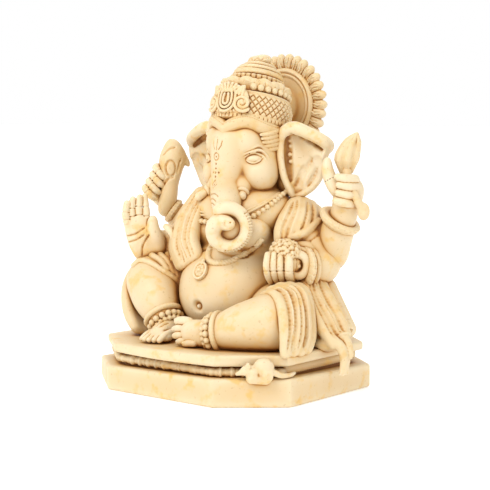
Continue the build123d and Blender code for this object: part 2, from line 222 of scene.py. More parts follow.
def slab(corners, bottom, top, rounding=0.0, tilt=(0.0, 0.0)):
    """Upright prism over a polygon in plan; its top slopes by tilt per millimetre in x and y."""
    plan = np.array(corners)
    low = vec(*plan.min(0), bottom)
    high = vec(*plan.max(0), top + np.abs(plan).max() * (abs(tilt[0]) + abs(tilt[1])))

    def distance(x, y, z):
        around = polygon_distance(x + 0 * y, y + 0 * x, corners)
        slope = tilt[0] * x + tilt[1] * y
        thick = np.maximum(z - (top + slope), bottom - z)
        inside = np.minimum(np.maximum(around, thick) + rounding, 0)
        outside = np.sqrt(np.maximum(around + rounding, 0) ** 2
                          + np.maximum(thick + rounding, 0) ** 2)
        return inside + outside - rounding

    return low, high, distance


def stripe(phase, width):
    """1 on the whole numbers of phase, falling to 0 within width of them."""
    return np.clip(1 - np.abs((phase + 0.5) % 1 - 0.5) / width, 0, 1)


def sample_grid(grid, first, step, points):
    """Value of a grid at points, between voxels."""
    place = np.asarray(points, np.float32) / step - first
    place = np.clip(place, 0, np.array(grid.shape) - 1.001)
    cell = place.astype(int)
    part = place - cell
    i, j, k = cell.T
    total = 0
    for di in (0, 1):
        for dj in (0, 1):
            for dk in (0, 1):
                weight = (np.abs(1 - di - part[:, 0]) * np.abs(1 - dj - part[:, 1])
                          * np.abs(1 - dk - part[:, 2]))
                total = total + weight * grid[i + di, j + dj, k + dk]
    return total


def loft(guides, lines, count):
    """Evenly spread paths between guide paths, as an array of (lines, count, columns)."""
    guides = [curve(guide, count) for guide in guides]
    return curve(np.reshape(guides, (len(guides), -1)), lines).reshape(lines, count, -1)


class Clay:
    """One form's distance field, in millimetres."""

    def __init__(self, low, high, step=LATTICE):
        ratio = round(LATTICE / step)
        self.step = step
        self.first = (np.floor(np.asarray(low) / LATTICE).astype(int) - 4) * ratio
        last = (np.ceil(np.asarray(high) / LATTICE).astype(int) + 4) * ratio
        self.field = np.full(last - self.first + 1, FAR, np.float32)

    def window(self, low, high):
        low = np.maximum(np.floor(np.asarray(low) / self.step).astype(int) - self.first, 0)
        high = np.minimum(np.ceil(np.asarray(high) / self.step).astype(int) + 1 - self.first,
                          self.field.shape)
        if np.any(high <= low):
            return None
        cells = tuple(slice(a, b) for a, b in zip(low, high))
        x, y, z = ((np.arange(a, b) + f) * self.step for a, b, f in zip(low, high, self.first))
        return cells, (x[:, None, None].astype(np.float32), y[None, :, None].astype(np.float32),
                       z[None, None, :].astype(np.float32))

    def add(self, shape, blend=0.0):
        low, high, distance = shape
        found = self.window(low - blend - 1.2, high + blend + 1.2)
        if found:
            cells, at = found
            self.field[cells] = soft_min(self.field[cells], distance(*at), blend)
        return self

    def cut(self, shape, blend=0.0):
        low, high, distance = shape
        found = self.window(low - blend - 0.8, high + blend + 0.8)
        if found:
            cells, at = found
            self.field[cells] = -soft_min(-self.field[cells], distance(*at), blend)
        return self

    def keep(self, shape, blend=0.0):
        """Cuts away all that lies outside the shape."""
        cells, at = self.window(self.first * self.step,
                                (self.first + self.field.shape) * self.step)
        self.field = -soft_min(-self.field, -shape[2](*at), blend)
        return self

    def tube(self, rows, blend=0.0, count=0, cut=False, thin=1.0, face=None):
        """Adds or cuts a tapering tube along (x, y, z, radius) rows, smoothed when count is given."""
        rows = curve(rows, count) if count else np.asarray(rows, float)
        for start, end in zip(rows, rows[1:]):
            shape = limb(start, end, thin, face)
            if cut:
                self.cut(shape, blend)
            else:
                self.add(shape, blend)
        return self

    def beads(self, points, radius, blend=0.0):
        for point in points:
            self.add(ball(point[:3], radius), blend)
        return self

    def cloth(self, guides, lines, folds, count=16, depth=0.3, blend=1.0, phase=0.0):
        """Sheet with folds along it, lofted across guide paths of (x, y, z, radius) rows."""
        for place, rows in zip(np.linspace(0, 1, lines), loft(guides, lines, count)):
            crown = 2 * abs(math.cos(math.pi * (folds * place + phase))) - 1
            rows[:, 3] *= 1 + depth * crown
            self.tube(rows, blend)
        return self

    def pleats(self, guides, lines, facing, size=0.7, blend=0.7, count=22):
        """Presses valleys between the folds, along paths lofted across the guides."""
        fade = np.interp(np.linspace(0, 1, count), [0, 0.15, 0.85, 1], [0.35, 1, 1, 0.35])
        for n, rows in enumerate(loft(guides, lines + 2, count)[1:-1]):
            path = self.project(rows[:, :3] + unit(facing) * 9, -unit(facing), 18)
            deep = size * (1 + 0.25 * math.sin(2.4 * n))
            self.tube(with_radius(path, deep * fade), blend, cut=True)
        return self

    def sample(self, points):
        return sample_grid(self.field, self.first, self.step, points)

    def project(self, points, direction, reach=30.0):
        """First point of the surface met from each point along a direction, else the nearest."""
        points, direction = np.array(points, float)[:, :3], unit(direction)
        found, lowest = points.copy(), np.full(len(points), np.inf)
        for travel in np.arange(0, reach, self.step / 2):
            spots = points + direction * travel
            depth = self.sample(spots)
            closer = (lowest > 0) & (depth < lowest)
            found[closer], lowest[closer] = spots[closer], depth[closer]
        return found

    def slope(self, points):
        points = np.asarray(points, float)
        steps = np.eye(3) * self.step
        found = np.stack([self.sample(points + s) - self.sample(points - s) for s in steps], 1)
        return found / np.maximum(np.linalg.norm(found, axis=1, keepdims=True), 1e-6)

    def settle(self, points, lift=0.0, rounds=6):
        """Moves points onto the surface, or lift millimetres above it."""
        points = np.array(points, float)[:, :3]
        for _ in range(rounds):
            points -= self.slope(points) * (self.sample(points) - lift)[:, None]
        return points


# ---------------------------------------------------------------- the collected figure
pieces = []  # (name, slot, nodes, clay)


def piece(name, slot, nodes, clay):
    """Keeps a finished form, with its material slot and the CAD nodes that it stands for."""
    pieces.append((name, slot, nodes, clay))


def clay_of(name):
    return next(clay for made, _, _, clay in pieces if made == name)


def clay_round(node, pad, step=LATTICE):
    """Empty clay over a CAD node's box, padded on all sides."""
    low, high = limits(node)
    return Clay(low - pad, high + pad, step)


# ---------------------------------------------------------------- base
plinth_low, plinth_high = limits("base_plinth")
slab_low, slab_high = limits("seat_slab")
core_low, core_high = limits("seat_core")
CORNER_X, CORNER_Y = 0.227, 0.212  # share of the width and depth that a corner cut takes


def cut_corners(low, high, front_bow=0.0):
    """Plan of a cut-corner rectangle, its front edge bowed out."""
    width, depth = high[0] - low[0], high[1] - low[1]
    cx, cy = width * CORNER_X, depth * CORNER_Y
    bow = [
        (low[0] + cx + (width - 2 * cx) * t, low[1] - front_bow * math.sin(math.pi * t))
        for t in np.linspace(0, 1, 7 if front_bow else 2)
    ]
    return bow + [
        (high[0], low[1] + cy), (high[0], high[1] - cy), (high[0] - cx, high[1]),
        (low[0] + cx, high[1]), (low[0], high[1] - cy), (low[0], low[1] + cy),
    ]


TILT = (0.019, -0.023)  # rise of the plinth's top per mm in x and y; it looks thicker at the front left


def make_base():
    top = plinth_high[2] - 1.44
    clay = Clay(plinth_low - 1, plinth_high + vec(1, 1, 2))
    outline = cut_corners(plinth_low + 0.09, plinth_high - 0.09)
    clay.add(slab(outline, 0.03, top, 1.1, TILT))
    piece("plinth", "resin_base", ["base_plinth"], clay)

    clay = Clay(core_low - vec(1, 1, 5), core_high + 1)
    clay.add(slab(cut_corners(core_low, core_high), plinth_high[2] - 4, core_high[2] + 0.5, 0.5))
    piece("seat_recess", "resin_base", ["seat_core"], clay)

    clay = Clay(slab_low - vec(1, 3, 2), slab_high + vec(1, 1, 2))
    low, high = slab_low.copy(), slab_high.copy()
    low[1] += 1.6
    slope = (TILT[0] * 0.6, TILT[1] * 0.6)
    clay.add(slab(cut_corners(low, high, 2.4), slab_low[2] - 0.4, slab_high[2] - 0.6, 0.9, slope))
    clay.cut(slab(cut_corners(low + 1.1, high - 1.1, 2.4), slab_low[2] - 3, slab_low[2] + 0.2, 0.2))
    piece("seat_top", "resin_base", ["seat_slab"], clay)


def recess_edges():
    """Straight edges of the recess where a moulding lies, as (start, end) pairs."""
    corners = cut_corners(core_low, core_high)
    height = (core_low[2] + core_high[2]) / 2 + 0.1
    points = [vec(x, y, height) for x, y in corners]
    return list(zip(points, points[1:] + points[:1]))


def make_mouldings():
    edges = recess_edges()
    clay = Clay(core_low - 2.5, core_high + 2.5)
    for start, end in (edges[0], edges[1], edges[4], edges[7]):
        direction, length = unit(end - start), np.linalg.norm(end - start)
        outward = unit(np.cross(direction, vec(0, 0, 1)))
        places = np.arange(0.6, length - 0.4, 0.4)
        swell = 0.12 * np.sin(places * 0.83 + start[0]) + 0.1 * np.sin(places * 2.3)
        centre = start + outward * 1.3 - vec(0, 0, 0.75)
        clay.tube(with_radius(centre + direction * places[:, None], 1.45 + swell), 0.0)
        for n, place in enumerate(np.arange(1.6, length - 1.2, 1.3)):
            loop = hoop(centre + direction * place, direction, 1.5, 16)
            if math.sin(n * 1.9 + start[0]) < 0.1:
                clay.tube(with_radius(loop, 0.26), 0.15, cut=True)
            elif n % 3 == 0:
                clay.tube(with_radius(loop, 0.45), 0.15)
    piece("reeded_staff", "resin_base", ["reeded_moulding"], clay)

    clay = Clay(core_low - 2.5, core_high + 2.5)
    for start, end in (edges[2], edges[3], edges[5], edges[6]):
        direction, length = unit(end - start), np.linalg.norm(end - start)
        outward = unit(np.cross(direction, vec(0, 0, 1)))
        up = vec(0, 0, 1)
        for place in np.arange(0.9, length - 0.8, 1.25):
            spot = start + outward * 0.8 + direction * place
            for way in (-1, 1):
                tip = spot + up * 1.35 * way - direction * 0.75
                clay.add(limb(np.append(spot, 0.72), np.append(tip, 0.62)), 0.25)
        clay.tube([np.append(start + outward * 0.3, 1.2), np.append(end + outward * 0.3, 1.2)], 0.3)
    piece("rope_band", "resin_base", ["rope_moulding"], clay)


def make_mouse():
    low, high = limits("mouse")
    body = vec(*(middle("mouse")[:2] + vec(-0.9, -3.9)), plinth_high[2])
    clay = Clay(low - 4, high + 4, FINE)
    clay.add(ball(body + vec(1.6, 1.4, 4.0), (3.6, 2.8, 3.4), turned_axes(40)), 0.8)
    clay.add(ball(body + vec(-2.2, -2.4, 3.3), (2.3, 1.8, 1.9), turned_axes(40)), 1.2)
    clay.tube([(*(body + vec(-3.4, -3.2, 2.9)), 1.3), (*(body + vec(-5.2, -4.6, 2.0)), 0.6)], 0.8)
    for ear in (vec(-1.4, -3.4, 4.7), vec(-2.9, -1.5, 4.7)):
        clay.add(ball(body + ear, (1.0, 0.6, 1.0)), 0.3)
    for leg in (vec(-0.6, -2.4, 0.9), vec(3.4, 0.4, 0.9), vec(0.2, -1.9, 1.2), vec(4.2, 1.8, 1.0)):
        clay.tube([(*(body + leg + vec(0, 0, 1.6)), 1.25), (*(body + leg), 0.95)], 0.6)
    tail = [vec(4.2, 3.2, 2.6), vec(5.8, 6.0, 1.2), vec(6.6, 9.5, 0.9), vec(6.4, 12.5, 1.3)]
    clay.tube(with_radius([body + t for t in tail], [1.0, 0.8, 0.65, 0.45]), 0.5, 14)
    clay.tube([(*(body + vec(2, 2, 0.4)), 2.2), (*(body + vec(-1.5, -1.5, 0.4)), 1.8)], 1.0)
    piece("mouse", "resin_base", ["mouse"], clay)


def turned_axes(degrees):
    """Axes turned about the vertical; the first points away from +X by the angle."""
    c, s = math.cos(math.radians(degrees)), math.sin(math.radians(degrees))
    return np.array([(c, s, 0), (-s, c, 0), (0, 0, 1)])


# ---------------------------------------------------------------- torso
belly = middle("belly")
slab_top = slab_high[2]


def make_torso():
    clay = Clay(belly - vec(24, 24, 20), belly + vec(24, 36, 38))
    clay.add(ball(belly + vec(0, 1.0, 0.5), (20.4, 21.2, 17.5)))
    clay.add(ball(belly + vec(0, -3, -5), (17.5, 17.6, 12.5)), 5.0)
    clay.add(ball(vec(0, 9.5, 58), (17, 13.5, 15)), 3.0)
    clay.tube([(0, 12.0, 34, 18.0), (0, 11.0, 50, 17.2), (0, 9.6, 61, 15.6)], 4.0, 8)
    for side in (-1, 1):
        clay.add(ball(vec(side * 10.2, -2.6, 57.6), (8.2, 7.2, 6.9)), 2.0)
    navel = clay.settle([vec(0, -20, 30.6)])[0]
    clay.cut(ball(navel + vec(0, -0.2, 0), (2.1, 2.0, 2.1)), 1.2)
    clay.add(ball(navel + vec(0, 1.1, 0), (0.8, 0.9, 0.8)), 0.15)
    for side in (-1, 1):
        crease = [(side * 18, -3, 50.5), (side * 13, -9.5, 50), (side * 7, -12, 50.8),
                  (side * 2, -12.5, 54)]
        crease = clay.settle(curve(crease, 16), 0.1)
        clay.tube(with_radius(crease, np.linspace(0.9, 0.5, 16)), 0.9, cut=True)
    back_folds = [[(x * 0.9, 20, 66), (x, 24, 54), (x * 1.15, 26, 42), (x * 1.2, 27, 30)]
                  for x in (-17, -6, 6, 17)]
    clay.pleats(back_folds, 9, (0, 1, 0.05), 0.9)
    piece("torso", "resin_skin", ["belly", "chest"], clay)

    hips = middle("dhoti_hips")
    clay = Clay(hips - vec(36, 30, 14), hips + vec(36, 22, 14))
    clay.add(ball(hips + vec(0, 0.5, -1.0), (25.5, 22.0, 13.0)))
    clay.add(ball(vec(0, 14, slab_top), (26, 18, 6)), 4.0)
    clay.add(ball(vec(0, -5, slab_top + 1), (22, 14, 6)), 4.0)
    clay.add(ball(vec(-24, -2, slab_top + 4), (10, 12, 9)), 4.0)
    clay.add(ball(vec(25, 0, slab_top + 3), (10, 12, 9)), 4.0)
    for turn in np.linspace(40, 140, 9):
        wave = 10 * math.sin(turn * 7)
        path = [
            (26 * math.cos(math.radians(turn + t * wave)), 8 + 21 * math.sin(math.radians(turn + t * wave)),
             slab_top + 16 - 15 * t)
            for t in np.linspace(0, 1, 8)
        ]
        path = clay.settle(path, 0.1)
        clay.tube(with_radius(path, np.linspace(0.5, 1.2, 8)), 1.2)
    piece("hip_cloth", "resin_cloth", ["dhoti_hips"], clay)


# ---------------------------------------------------------------- head
head = middle("head")


def make_head():
    clay = Clay(head - vec(16, 30, 37), head + vec(23, 16, 17), FINE)
    clay.add(ball(head + vec(0, 1.5, 2.0), (13.6, 13.4, 14.0)))
    for side in (-1, 1):
        clay.add(ball(head + vec(side * 5.6, -5.0, 8.0), (6.2, 6.0, 6.0)), 3.5)
        clay.add(ball(vec(side * 9.6, 4.2, 78.3), (6.2, 7.2, 7.4)), 1.6)
        clay.add(ball(vec(side * 10.4, 8.0, 84.0), (4.6, 6.5, 8.5)), 3.0)
    clay.add(ball(head + vec(0, 1.0, -10), (8.5, 9.0, 6.0)), 3.0)
    trunk = [
        (0, -0.8, 90, 6.6), (0, -1.4, 84, 6.4), (0, -2.4, 78, 5.7), (0.3, -3.4, 72.6, 5.5),
        (2.8, -6.6, 69.2, 5.2), (6.4, -11.4, 67.2, 4.4), (9.6, -14.6, 66.4, 3.2),
    ]
    clay.tube(trunk, 1.8, 22)
    for side in (-1, 1):
        root = [(side * 4.4, 0.5, 77, 3.2), (side * 6.0, -1.6, 73.8, 3.0), (side * 6.8, -2.8, 72.4, 2.6)]
        clay.tube(root, 1.4, 6)
    make_coil(clay)
    # Wrinkles across the front of the trunk where it turns towards the coil.
    for level in (71.2, 69.4, 67.8):
        line = clay.project([(x + 2, -24, level - 0.05 * x * x) for x in np.linspace(-5, 4, 9)], (0, 1, 0))
        clay.tube(with_radius(line, 0.26), 0.3, cut=True)
    make_eyes(clay)
    make_forehead_marks(clay)
    piece("head_and_trunk", "resin_skin", ["head", "trunk", "trunk_coil", "trunk_tip"], clay)


def make_coil(clay):
    """The trunk's end: over the top, down the figure's left, round under and in to a knob."""
    centre, across, up = vec(11.4, -16.4, 59.6), vec(0.86, 0.5, 0), vec(0, 0, 1)
    forward = vec(0.5, -0.86, 0)
    share = np.linspace(0, 1, 52)
    turns = 112 - 375 * share
    reach = np.interp(share, [0, 0.12, 0.5, 0.66, 0.8, 0.92, 1], [6.6, 6.9, 6.9, 6.3, 4.6, 2.8, 1.6])
    width = np.interp(share, [0, 0.15, 0.5, 0.68, 0.82, 1], [2.9, 2.25, 2.1, 2.5, 3.0, 2.5])
    push = np.interp(share, [0, 0.6, 1], [0.2, 0.2, 2.0])
    spiral = np.array([
        centre + r * (math.cos(t) * across + math.sin(t) * up) + forward * p
        for t, r, p in zip(np.radians(turns), reach, push)
    ])
    clay.tube(with_radius(spiral, width), 0.4)
    clay.add(ball(centre - forward * 1.6, (7.2, 1.6, 7.2), (across, forward, up)), 0.4)
    knob = spiral[-1] + forward * 1.0 + across * 1.0
    clay.add(ball(knob, (2.3, 2.0, 2.2), (across, forward, up)), 0.8)
    lip = [knob + forward * 1.9 + 1.35 * (math.cos(t) * across + math.sin(t) * up)
           for t in np.linspace(0.6, 4.4, 14)]
    clay.tube(with_radius(lip, np.linspace(0.25, 0.45, 14)), 0.3, cut=True)
    clay.cut(ball(knob + forward * 2.1 + across * 0.9 + up * 0.6, (0.5, 0.9, 0.4), (across, forward, up)),
             0.4)
    for place in np.linspace(0.2, 0.56, 19):
        i = int(place * 51)
        outward = unit(spiral[i] - centre - forward * push[i])
        loop = [spiral[i] + width[i] * 1.03 * (math.cos(a) * outward + math.sin(a) * forward)
                for a in np.linspace(-0.3, 0.9, 7)]
        clay.tube(with_radius(loop, 0.36), 0.3, cut=True)


def make_eyes(clay):
    for side in (-1, 1):
        spot = clay.settle([vec(side * 10.4, -0.6, 83.6)])[0]
        out = clay.slope([spot])[0]
        along = unit(np.cross(vec(0, 0, 1), out) * side + vec(0, 0, 0.1))
        up = unit(np.cross(out, along) * side)
        up = up if up[2] > 0 else -up

        def line(start, end, lift, bend, shift=0.0, count=18):
            return [spot + along * a + up * (lift - bend * (a - shift) ** 2)
                    for a in np.linspace(start, end, count)]

        clay.cut(ball(spot + out * 1.2, (4.2, 1.7, 2.6), (along, out, up)), 1.6)
        clay.add(ball(spot - out * 0.45, (2.7, 1.35, 1.45), (along, out, up)), 0.3)
        fade = np.interp(np.linspace(0, 1, 18), [0, 0.35, 0.8, 1], [0.3, 1, 0.8, 0.25])
        clay.tube(with_radius(clay.settle(line(-3.2, 4.8, 1.95, 0.12), 0.1), 0.5 * fade), 0.3)
        clay.tube(with_radius(clay.settle(line(-2.9, 3.6, -1.6, -0.14), 0.05), 0.36 * fade), 0.3)
        clay.tube(with_radius(clay.settle(line(-3.4, 6.2, 3.3, 0.1, 0.4), 0.1), 0.5 * fade), 0.5)
        clay.tube(with_radius(clay.settle(line(-3.0, 5.2, 4.7, 0.09, 0.8), -0.1), 0.4 * fade), 0.3)
        for start, end, lift, bend, size in (
            (-2.9, 4.2, 1.15, 0.11, 0.24), (-2.4, 3.2, -1.05, -0.12, 0.18), (-2.9, 5.6, 2.6, 0.11, 0.24),
            (-3.0, 5.6, 3.9, 0.09, 0.24),
        ):
            groove = clay.settle(line(start, end, lift, bend, 0.3), 0.05)
            clay.tube(with_radius(groove, size * (0.4 + 0.6 * fade)), 0.25, cut=True)


def make_forehead_marks(clay):
    """Generic engraved ornament down the forehead and trunk: drops, rings and dots."""
    def engrave(plan, radius=0.28):
        path = clay.project([vec(x - 0.9, -24, z) for x, z in plan], (0, 1, 0))
        clay.tube(with_radius(path, radius), 0.15, cut=True)

    def ring(x, z, wide, tall):
        return [(x + wide * math.sin(t), z + tall * math.cos(t)) for t in np.linspace(0, 2 * math.pi, 19)]

    for x, tall in ((-2.1, 1.3), (0, 1.9), (2.1, 1.3)):
        engrave([(x * 0.5, 87.4 - tall * 0.3), (x, 88.6), (x, 88.6 + tall * 0.5), (x * 1.1, 88.8 + tall)],
                0.26)
    engrave(ring(0, 84.4, 1.25, 1.35))
    for x, z in ((0, 84.4), (0, 81.8), (-1.5, 78.6), (1.5, 78.6), (0, 80.1), (0, 77.1), (0, 78.6)):
        engrave([(x, z), (x, z - 0.05)], 0.42)
    engrave([(0, 75.9), (-1.2, 74.3), (0, 72.7), (1.2, 74.3), (0, 75.9)])
    engrave([(0, 74.3), (0, 74.25)], 0.42)


def make_tusks():
    for name, side, reach in (("right_tusk", -1, 4.6), ("left_tusk", 1, 2.6)):
        root = vec(side * 7.4, -3.6, 71.6)
        aim = unit(vec(side * 0.55, -0.7, -0.42))
        clay = Clay(root - 9, root + 9, FINE)
        clay.add(limb(np.append(root - aim * 3, 2.9), np.append(root - aim * 0.4, 2.7)))
        clay.tube(with_radius(hoop(root + aim * 1.2, aim, 1.9, 24), 0.75), 0.3)
        clay.add(limb(np.append(root, 1.7), np.append(root + aim * (reach + 0.6), 1.6)), 0.1)
        piece(name, "resin_skin", [name], clay)


EAR_HEIGHT = 0.92  # of the plan's height above the root


def make_ears():
    for name, side, wide in (("right_ear", -1, 0.98), ("left_ear", 1, 0.72)):
        low, high = limits(name)
        root = vec(13.4 * side + (2.0 if side > 0 else 0.6), 10.6, 81.4)
        out = unit(vec(side * 0.97, 0.2, 0))
        back = unit(vec(-side * 0.2, 0.97, 0))
        up = vec(0, 0, 1)
        clay = Clay(low - vec(4, 7, 4), high + vec(4, 6, 4))

        def spot(u, w, v=0.0):
            return root + out * u * wide + up * w * (EAR_HEIGHT if w > 0 else 1) + back * v

        outline = [(0, 11.5), (3.5, 14.6), (8, 15.6), (14, 14.0), (20, 11.5), (23.4, 8.6), (23.6, 5),
                   (21.6, 0.5), (19.8, -4), (16.6, -8), (11.5, -10.6), (6.6, -12.6), (2.6, -9), (0.4,
                                                                                                 -3), (0,
                                                                                                       4)]
        outline = [tuple(p) for p in curve(outline + outline[:1], 42)[:-1]]

        def distance(x, y, z, outline=outline, root=root, out=out, back=back, wide=wide):
            x, y, z = x - root[0], y - root[1], z - root[2]
            u = x * out[0] + y * out[1]
            v = x * back[0] + y * back[1]
            w = np.where(z > 0, z / EAR_HEIGHT, z) + 0 * u
            u = u / wide + 0 * w
            dish = 2.6 * np.clip(u / 16, 0, 1.2) ** 0.7 - 0.012 * (u - 10) ** 2
            dish = dish - 0.9 * np.sin(w * 0.42 + 0.6) * np.clip((u - 12) / 10, 0, 1)
            dish = dish + 0.5 * np.sin(u * 0.55 + w * 0.35) * np.clip(u / 10, 0, 1)
            thick = 1.2 + 2.0 * np.clip(1 - u / 9, 0, 1)
            sheet = np.abs(v + 0 * w - dish - (thick - 1.2)) - thick
            rim = polygon_distance(u, w, outline)
            return -soft_min(-sheet, -rim, 0.9)

        corner = np.array([spot(u, w, v) for u in (-2, 25) for w in (-14, 17) for v in (-5, 7)])
        clay.add((corner.min(0), corner.max(0), distance))
        top_roll = [(*spot(-0.5, 9.5, -1.5), 1.9), (*spot(2.5, 13.2, -2.2), 2.0),
                    (*spot(8, 14.6, -2.4), 2.1),
                    (*spot(15, 12.6, -1.6), 2.0), (*spot(21.5, 9.8, 0.2), 1.9), (*spot(23.6, 7.4, 1.8),
                                                                                 1.5)]
        clay.tube(top_roll, 1.0, 20)
        front_edge = [(*spot(-0.6, 9.5, -1.6), 1.7), (*spot(0.2, 3, -2.4), 1.35),
                      (*spot(1.8, -4, -2.0), 1.2),
                      (*spot(5.6, -11.4, -0.6), 1.1)]
        clay.tube(front_edge, 0.9, 14)
        clay.add(ball(spot(0.6, 0.5, 2.6), (5.4, 3.0, 12.5), (out, back, up)), 1.5)
        hollow = [(*spot(3.9, 11.6, -1.6), 1.1), (*spot(3.7, 7, -1.2), 1.4), (*spot(3.5, 1.0, -1.0), 1.4),
                  (*spot(4.4, -5.5, -0.4), 1.0)]
        clay.tube(hollow, 0.7, 14, cut=True)
        for drop in (9.5, 7.4, 4.0, 1.2):
            clay.add(ball(spot(3.7 + 0.3 * math.sin(drop), drop, 0.3), 0.75), 0.1)
        clay.add(ball(spot(15, 7.5, 3.6), (8.0, 1.8, 4.6), (out, back, up)), 1.5)
        under = clay.project([spot(u, w, -10) for u,
                              w in ((6.5, 12.0), (10, 11.3), (14, 9.9), (18, 8.3), (21, 6.2))], back)
        clay.tube(with_radius(under, [0.5, 0.8, 0.9, 0.8, 0.5]), 0.9, cut=True)
        dimple = clay.project([spot(18.6, 0.6, -8)], back)[0]
        clay.cut(ball(dimple, (2.3, 1.1, 2.9), (out, back, up)), 1.0)
        for u, w in ((9, -4), (13, -1), (15.5, -5)):
            crease = clay.project([spot(u + 2.2 * t, w + 3.4 * t, -8) for t in np.linspace(-1, 1, 7)], back)
            clay.tube(with_radius(crease, 0.5), 1.0, cut=True)
        edge = [(*spot(23.2, 6.4, 2.4), 1.0), (*spot(21.8, 1.4, 1.4), 0.8), (*spot(19.4, -4.4, 2.2), 0.9),
                (*spot(15.4, -8.6, 1.4), 0.8), (*spot(9.5, -11.2, 0.9), 0.9), (*spot(5.6, -12.2, 0.2), 0.8)]
        clay.tube(edge, 0.9, 20)
        piece(name, "resin_skin", [name], clay)


def make_temple_curls():
    for name, side in (("right_temple_curls", -1), ("left_temple_curls", 1)):
        clay = clay_round(name, 4, FINE)
        for n in range(5):
            level, start = 93.4 - 1.4 * n, 2.2 + 0.6 * n
            lock = [(side * 12.8, start - 1.4, level - 1.0, 0.6),
                    (side * 14.3, start + 0.7, level - 0.7, 0.95),
                    (side * 15.4, start + 3.8, level + 0.1, 1.05), (side * 15.4, start + 6.8, level + 0.9,
                                                                    0.95)]
            clay.tube(lock, 0.1, 9)
        clay.tube([(side * 12.4, 4, 92.5, 2.2), (side * 12.8, 7, 88.5, 2.4)], 0.2)
        piece(name, "resin_ornament", [name], clay)


# ---------------------------------------------------------------- crown and halo
CROWN_MIDDLES = 7.8, 27.1  # mm up the crown's axis of the middles of the band and the finial
band_middle, finial_middle = middle("crown_lattice_band"), middle("finial")
crown_rise = unit(finial_middle - band_middle)
crown_foot = band_middle - crown_rise * CROWN_MIDDLES[0] + quarter(1.0, 1.1, 0)
crown_front = vec(0, -crown_rise[2], crown_rise[1])


def on_crown(radius, level, turn):
    """Point at a radius, a height up the crown's axis and a turn from its front towards +X."""
    return (crown_foot + crown_rise * level + vec(1, 0, 0) * radius * math.sin(turn)
            + crown_front * radius * math.cos(turn))


def crown_piece(name, node, outline, carve=None, wave=None, rounding=0.25, extra=None):
    reach = max(r for r, _ in outline) + 2.5
    levels = [h for _, h in outline]
    ends = np.array([crown_foot + crown_rise * (min(levels) - 2),
                     crown_foot + crown_rise * (max(levels) + 2)])
    clay = Clay(ends.min(0) - vec(reach, reach, 4), ends.max(0) + vec(reach, reach, 4), FINE)
    clay.add(lathe(crown_foot, crown_foot + crown_rise, outline, carve, rounding, wave))
    if extra:
        extra(clay)
    piece(name, "resin_ornament", [node], clay)


def brim_wave(turn):
    """The brim dips to a point over the trunk and arches over the eyes."""
    return 2.3 * np.exp(-np.abs(turn) / 0.2) - 1.7 * np.exp(-((np.abs(turn) - 0.62) / 0.36) ** 2)


def diamonds(turn, rise):
    """Diamond lattice cut into the band."""
    spread = turn * 38 / (2 * math.pi)
    lines = np.maximum(stripe(spread + rise / 2.7, 0.22), stripe(spread - rise / 2.7, 0.22))
    inside = np.clip((rise - 3.5) * 2, 0, 1) * np.clip((11.3 - rise) * 2, 0, 1)
    return 0.75 * lines * inside


def notches(count, depth, width=0.16):
    return lambda turn, rise: depth * stripe(turn * count / (2 * math.pi), width)


